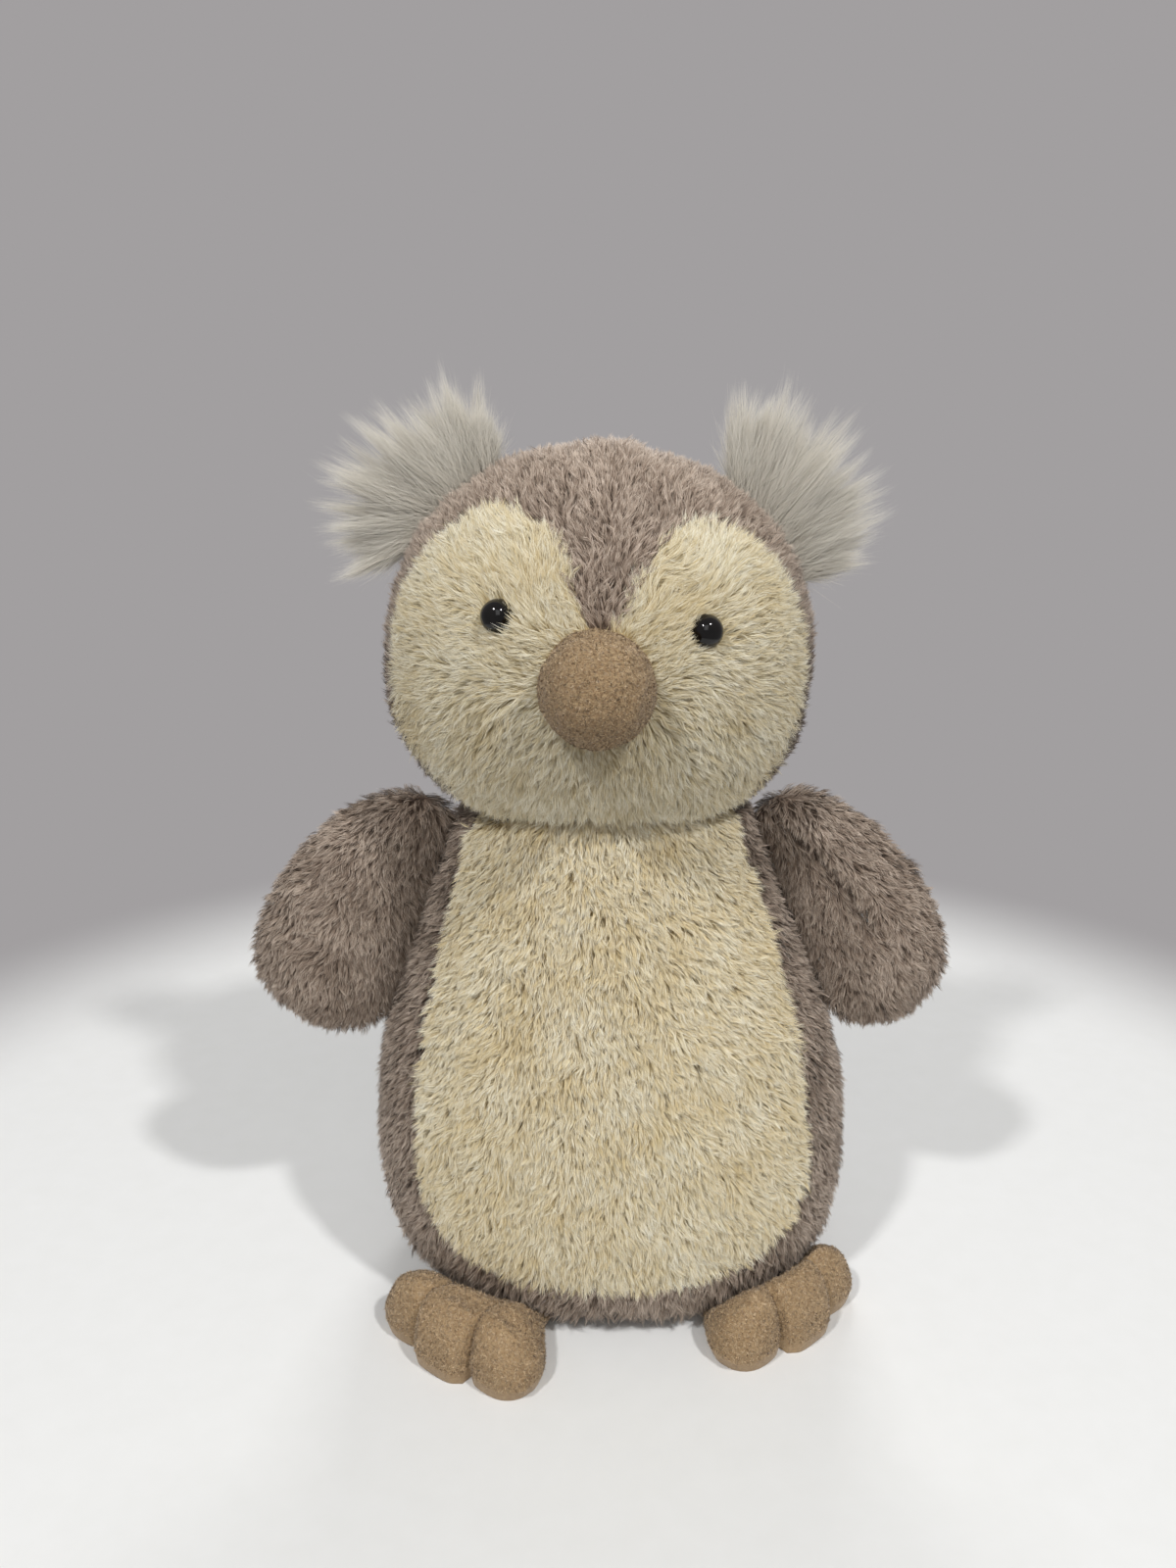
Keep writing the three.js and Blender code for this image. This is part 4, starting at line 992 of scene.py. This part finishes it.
def build_neck():
    """The closed ball on which the head turns, with its own pile for when the head nods."""
    turn = around(120)
    share = neck_share(turn)
    rim = body_outside(turn, share) - PILE * body_facing(turn, share)
    cap = neck_cap(rim, NECK_RADIUS - NECK_BACKING)
    cover("neck", "body", TAUPE, cap, wrap=True)
    cap = cap[:NECK_PILE_ROWS]
    out = unit(cap - NECK_CENTRE)
    flow = out * [1, 1, 0]
    bib = np.abs(np.degrees(turn - 2 * math.pi * (turn > math.pi))) < BIB_EDGE
    for name, cloth, kept in (("cream", CREAM, bib), ("taupe", TAUPE, ~bib)):
        plush(
            f"neck_{name}_pile", "body", cloth, cap, out, flow, seed=45, length=4.2,
            thinning=kept.astype(float), locks=1.3, lean=1.05,
        )


# ---- head


def build_face(word, side):
    beak_start, beak_aim = beak_line()
    eye_start, eye_aim = eye_line(side)
    outside, out = face_panel(side, 90, 60)
    backing = backing_of(outside, out, seams=(-1,))
    to_eye = from_line(outside, eye_start, eye_aim)
    to_beak = from_line(outside, beak_start, beak_aim)
    backing = backing - out * (EYE_PIT * bell(to_eye, EYE_PIT_REACH))[..., None]

    # The pile fans out from the beak and round the eye, and hangs down below the beak.
    flow = unit(outside - (beak_start + beak_aim * 4))
    flow = flow + unit(outside - eye_start) * (0.5 * bell(to_eye, 11))[..., None]
    below = smooth(beak_start[2] + 6 - outside[..., 2:], 0, 20)
    flow = flow + np.array([0, 0, -0.7]) * below

    # It is short on the outer side of the eye and next to the beak.
    outer = smooth(side * (outside - eye_start)[..., 0], -3, 1)
    by_eye, by_beak = 0.42 * outer * bell(to_eye, 6.5), 0.3 * bell(to_beak - 17, 5)
    length = FACE_PILE_LENGTH * (1 - by_eye - by_beak)

    # None grows under the eye and the beak, or where the crown's wedge comes down between.
    from_middle = smooth(side * (outside - beak_start)[..., 0], 2.5, 5)
    wedge = smooth(outside[..., 2] - beak_start[2], 8, 12) * (1 - from_middle)
    thinning = smooth(to_beak, *BEAK_CLEARING) * smooth(to_eye, *EYE_CLEARING) * (1 - wedge)
    panel(
        f"face_{word}", "head", SHADED_FACE_CREAM, 0.85, backing, out, flow, 51 + side,
        length=length, thinning=thinning, locks=1.15, lean=0.92, wild=0.26, clump=0.36,
        spread=0.55, width=0.2, uneven=0.16,
    )


def build_crown(word, side):
    """A crown panel, from the wedge over the beak to the nape."""
    outside, out = crown_panel(side, 130, 80)
    clear = smooth(from_line(outside, *beak_line()), *BEAK_CLEARING)
    thinning = np.where(outside[..., 1] < 0, clear, 1)
    over = np.cross(unit(outside - HEAD_CENTRE), np.array([1.0, 0, 0]))
    flow = over + np.array([0.25 * side, 0, 0])
    panel(
        f"crown_{word}", "head", TAUPE, 0.85, backing_of(outside, out), out, flow, 61 + side,
        thinning=thinning, lean=0.7, wild=0.4,
    )


def build_head_lining():
    """Closes the head over the ball of the neck."""
    turn = np.linspace(0, 360, 120, endpoint=False)
    place, out = head_outside(aim_of(turn, chin_lift(turn)))
    lining = neck_cap(from_head(place) - PILE * aimed(out), NECK_RADIUS + LINING_GAP)
    cover("head_neck", "head", TAUPE, lining, wrap=True)


def build_eye(word, side):
    """A domed bead on its stem."""
    stem_end = EYE_BACK - EYE_STEM
    profile = [(0, stem_end), (EYE_STEM_RADIUS, stem_end), (EYE_STEM_RADIUS, EYE_BACK)]
    profile.append((EYE_RADIUS * 0.97, EYE_BACK))
    depth = EYE_PROUD - EYE_BACK - EYE_BEVEL
    for swing in np.linspace(0, math.pi / 2, 26):
        radius = EYE_RADIUS * math.cos(swing) ** EYE_FLATNESS
        profile.append((radius, EYE_BACK + EYE_BEVEL + depth * math.sin(swing)))
    bead = grid_mesh(f"{word} bead", [lathe(profile, *eye_line(side), 64)], wrap=True)
    piece(f"{word}_eye_bead", bead, "head", BEAD, [f"{word}_eye"])


def build_beak():
    start, aim = beak_line()
    back = math.asin((BEAK_HIDDEN + BEAK_BULGE) / BEAK_TAIL)
    profile = []
    for swing in np.linspace(-back, math.pi / 2, 110):
        reach = BEAK_TAIL if swing < 0 else BEAK_REACH
        radius = BEAK_RADIUS * max(0, math.cos(swing))
        profile.append((radius, BEAK_BULGE + reach * math.sin(swing)))
    profile = np.array(profile)
    profile[-1, 0] = 0
    rings = lathe(profile, start, aim, 180)
    centre = start + aim * BEAK_BULGE
    puckers = np.sin(around(180) * BEAK_PUCKERS + 1.3)[None, :]
    gathered = bell(profile[:, 1, None] - 0.5, 3)
    swell = 0.22 * ripple(rings, 9, 5) + 0.07 * ripple(rings, 1.6, 6) + 0.18 * puckers * gathered
    rings = rings + unit(rings - centre) * swell[..., None]
    mesh = grid_mesh("beak cloth", [rings], wrap=True)
    piece("beak_cloth", mesh, "head", BEAK_CLOTH, ["beak_cover"])
    shown = np.concatenate([rings, rings[:, :1]], 1)[30:107]
    out = unit(shown - centre)
    nap("beak_nap", "head", BEAK_NAP, shown, out, 95, 18, 0.8, 0.22, crinkle=0.9)


# ---- ears


def ear_fibres(side, dice, count, strands, reach, fan, gather, stray):
    """Fibres in wisps that fan out from an ear's seam, in the head's own axes.

    reach is a wisp's share of the full length, fan how far it strays in degrees, gather how far
    its tips stand apart, and stray the share of its fibres that stray further.
    """
    top, middle, low = EAR_LENGTHS[side]
    share = dice.permutation(np.linspace(0, 1, count)) + dice.normal(0, 0.02, count)
    share = np.clip(share, 0, 1)
    full = lerp(lerp(top, low, share), middle, 4 * share * (1 - share))
    length = full * (reach + dice.normal(0, 0.16, count))
    lift = lerp(EAR_TOP_AIM, EAR_LOW_AIMS[side], share) + dice.normal(0, fan, count)
    aim = np.radians(lift)
    way = np.stack([side * np.cos(aim), dice.normal(0, 0.17, count), np.sin(aim)], -1)
    end = ear_base(share, side) + way * length[:, None]

    wisp = np.repeat(np.arange(count), strands)  # the wisp that each fibre belongs to
    one_each = (len(wisp), 1)
    place = np.clip(share[wisp] + dice.normal(0, 0.08, len(wisp)), 0, 1)
    across = dice.normal(0, 1, (len(wisp), 3)) * EAR_ROOT_SPREAD
    start = ear_base(place, side) + across - 2.0 * way[wisp]
    short = dice.random(one_each) ** 1.1 * 0.66
    loose = np.where(dice.random(one_each) < stray, EAR_STRAY, 1.0)
    end = end[wisp] + dice.normal(0, 1, start.shape) * (gather + 4 * short) * loose
    end = end - (way * length[:, None])[wisp] * short
    bend = dice.normal(0, 1.6, (count, 3))[wisp] + dice.normal(0, 0.9, start.shape)
    front = np.where(across[:, 1:2] + dice.normal(0, 1.6, one_each) > 0, 1, -1)
    out = unit(front * np.array([0, 1, 0]) + np.array([0.1 * side, 0, 0.08]))
    tone = (0.5 + dice.normal(0, 0.08, count))[wisp] + dice.normal(0, 0.14, len(wisp))
    return start, (start + end) / 2 + bend, end, out, tone


def build_ear(word, side):
    """A fan of long fine fibres in loose wisps, over a strip of cloth in the seam."""
    dice = np.random.default_rng(70 + side)
    wisps = ear_fibres(side, dice, 44, 360, reach=1.0, fan=6, gather=0.8, stray=0.2)
    loose = ear_fibres(side, dice, 21000, 1, reach=0.62, fan=11, gather=0.5, stray=0.1)
    start, middle, end, out, tone = (np.concatenate(pair) for pair in zip(wisps, loose))
    width = dice.uniform(*EAR_FIBRE_WIDTHS, len(start))
    points, shades = strands_of(
        start, middle, end, out, width, dice, PILE_LEVELS, twist=0.8, ribbed=0.1, blunt=0.6
    )
    body, slot, fan = f"{word}_ear", "fur_white", (from_head(points), aimed(shades), tone)
    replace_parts(put_strands(f"{word}_ear_fan", body, slot, EAR_FUR, *fan), f"{word}_ear_fur")

    s, t = np.meshgrid(np.linspace(0.1, 0.9, 24), np.linspace(-0.04, 0.2, 8))
    aim = np.radians(lerp(EAR_TOP_AIM, EAR_LOW_AIMS[side], s))
    way = np.stack([side * np.cos(aim), 0 * aim, np.sin(aim)], -1)
    strip = ear_base(s, side) + way * (t * EAR_STRIP_LENGTH)[..., None]
    thick = np.array([0, EAR_STRIP_THICKNESS / 2, 0])
    mesh = grid_mesh(f"{word} ear strip", [from_head(strip - thick), from_head(strip + thick)])
    piece(f"{word}_ear_strip", mesh, body, EAR_TAB, [f"{word}_ear_tab"])


# ---- wings


def wing_crease(s, t):
    """How far places on a wing are from the crease in its front."""
    start, way = WING_CREASE[0], WING_CREASE[1] - WING_CREASE[0]
    along = np.clip(((s - start[0]) * way[0] + (t - start[1]) * way[1]) / (way**2).sum(), 0, 1)
    across = (s - start[0] - along * way[0]) * WING_WIDTH
    return np.hypot(across, (t - start[1] - along * way[1]) * WING_LENGTH)


def build_wing(word, side):
    s, t = np.meshgrid(np.linspace(0, 1, 50), np.linspace(0, 1, 76))
    _, down, outwards, front = wing_axes(side)
    seam = np.maximum(np.exp(-np.minimum(s, 1 - s) / 0.05), np.exp(-t / 0.04))
    seam = np.maximum(seam, np.exp(-(1 - t) / 0.04))[..., None]
    flow = down + outwards * (0.5 * s - 0.1)[..., None]
    for place, face in (("front", 1), ("back", -1)):
        backing = wing_sheet(side, face, WING_THICKNESS / 2 - PILE, s, t)
        from_middle = unit(backing - wing_sheet(side, face, 0, np.full_like(s, 0.5), t))
        out = facing_of(backing, front * face + from_middle * 0.6)
        turn = WING_SEAM_TURN * seam
        out = unit(out * (1 - turn) + from_middle * WING_SEAM_TURN * seam)
        length = WING_PILE_LENGTH
        if (word, place) == ("right", "front"):
            to_crease = wing_crease(s, t)
            dip = WING_CREASE_DEPTH * bell(to_crease, WING_CREASE_REACH)
            backing = backing - out * dip[..., None]
            length = WING_PILE_LENGTH * (1 - 0.4 * bell(to_crease, 3))
        name, body, seed = f"{word}_wing_{place}", f"{word}_wing", 80 + 3 * side + face
        panel(
            name, body, TAUPE, 0.8, backing, out, flow, seed, length=length, locks=0.75,
            strands=8, lean=0.95, wild=0.3, clump=0.2, spread=0.5, uneven=0.07,
        )


# ---- feet


def build_foot(word):
    s, t = np.meshgrid(np.linspace(0, 1, 151), np.linspace(0, 1, 90))
    upper, from_groove = foot_sheet(word, s, t, upper=True)
    sole, _ = foot_sheet(word, s, t, upper=False)
    lumps = 0.35 * ripple(upper, 11, 8)
    puckers = 0.18 * np.exp(-from_groove / 1.2) * ripple(upper, 3, 10)
    inside = np.minimum(np.minimum(s, 1 - s) / 0.03, (1 - t) / 0.06)
    upper[..., 2] += (lumps + puckers) * np.clip(inside, 0, 1)
    heel = lerp(upper[:1], sole[:1], np.linspace(0, 1, 6)[:, None, None])
    mesh = grid_mesh(f"{word} foot cloth", [upper, sole, heel])
    names = [f"{word}_foot_{layer}" for layer in ("upper", "sole", "stuffing")]
    piece(f"{word}_foot_cloth", mesh, f"{word}_foot", FOOT_CLOTH, names)
    out = facing_of(upper, UP)
    nap(f"{word}_foot_nap", f"{word}_foot", FOOT_NAP, upper, out, 92, 15, 1.0, 0.26, crinkle=0.55)


# ---- inside


def finish_insides():
    """Gives the solids inside the covers their own finishes."""
    for name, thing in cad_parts.items():
        look = next((look for word, look in INSIDES.items() if word in name), EAR_TAB)
        for place in thing.material_slots:
            place.material = look


# ---- the picture

BACKGROUND = srgb(162, 159, 160)
AIR = 0.25  # the strength of the even light from all round
FLOOR_FADES = 0.3, 0.46  # metres from the owl, where the floor fades into the backdrop
FLOOR_RINGS = 0, 0.3, 0.8, 1.6, 4.0
LAMP_AIM = np.array([0, 0, 0.16])
LAMPS = [  # place, size and power
    ("left key", (-0.95, -1.3, 2.05), 0.18, 26.5),
    ("right key", (1.05, -1.2, 2.1), 0.16, 29.5),
    ("rear key", (0.15, 1.7, 1.3), 0.6, 11),
    ("front softbox", (0.0, -1.6, 1.3), 1.0, 4.5),
]
CAMERA_PLACE, CAMERA_DROP = (-0.009, -0.42, 0.316), math.radians(17)
PICTURE_HEIGHT, FOCAL_LENGTH, SENSOR = 1600, 1270, 36  # pixels, pixels and millimetres


def build_floor():
    look = new_look("pale floor")
    far = look.node("VectorMath", {0: look.places()}, out="Value", operation="LENGTH")
    lit = look.shader(look.mix(look.noise(90, 4), (227, 227, 225), (232, 232, 231)), 0.55)
    backdrop = look.node("Emission", {"Color": BACKGROUND, "Strength": 1.0})
    near, away = FLOOR_FADES
    inputs = {"Value": far, "From Min": near, "From Max": away}
    fade = look.node("MapRange", inputs, interpolation_type="SMOOTHSTEP")
    look.finish(look.node("MixShader", {0: fade, 1: lit, 2: backdrop}))
    turn = around(96)
    rings = np.array(FLOOR_RINGS)[:, None, None] / MM
    disc = np.stack([np.cos(turn), np.sin(turn), 0 * turn], -1)[None] * rings
    mesh = grid_mesh("floor", [disc], wrap=True)
    mesh.materials.append(look.owner)
    placed("floor", mesh)


def build_air():
    """Even light from all round, with a grey backdrop for rays that look straight at it."""
    look = Look(bpy.data.worlds.new("studio"))
    bpy.context.scene.world = look.owner
    camera, glossy, clear = (
        look.node("LightPath", out=f"Is {kind} Ray")
        for kind in ("Camera", "Glossy", "Transmission")
    )
    seen = camera.or_else(glossy).or_else(clear)
    air = look.node("Background", {"Color": (1, 1, 1, 1), "Strength": AIR})
    backdrop = look.node("Background", {"Color": BACKGROUND, "Strength": 1.0})
    both = look.node("MixShader", {0: seen, 1: air, 2: backdrop})
    look.finish(both, "OutputWorld")


def build_lamps():
    for name, place, size, power in LAMPS:
        lamp = bpy.data.lights.new(name, "AREA")
        lamp.size, lamp.energy = size, power
        thing = placed(name, lamp)
        thing.location = place
        thing.rotation_euler = Vector(LAMP_AIM - place).to_track_quat("-Z", "Y").to_euler()


def build_camera():
    camera = bpy.data.cameras.new("camera")
    camera.sensor_fit = "VERTICAL"
    camera.sensor_height = SENSOR
    camera.lens = SENSOR * FOCAL_LENGTH / PICTURE_HEIGHT
    camera.clip_start = 0.01
    thing = placed("camera", camera)
    thing.location = CAMERA_PLACE
    thing.rotation_euler = (math.pi / 2 - CAMERA_DROP, 0, 0)
    bpy.context.scene.camera = thing


build_camera()
build_floor()
build_air()
build_lamps()
finish_insides()
build_tummy()
for word, side in SIDES.items():
    build_side(word, side)
build_base()
build_neck()
for word, side in SIDES.items():
    build_face(word, side)
    build_crown(word, side)
    build_eye(word, side)
build_head_lining()
build_beak()
for word, side in SIDES.items():
    build_ear(word, side)
    build_wing(word, side)
    build_foot(word)

bpy.context.scene.view_settings.view_transform = "Standard"
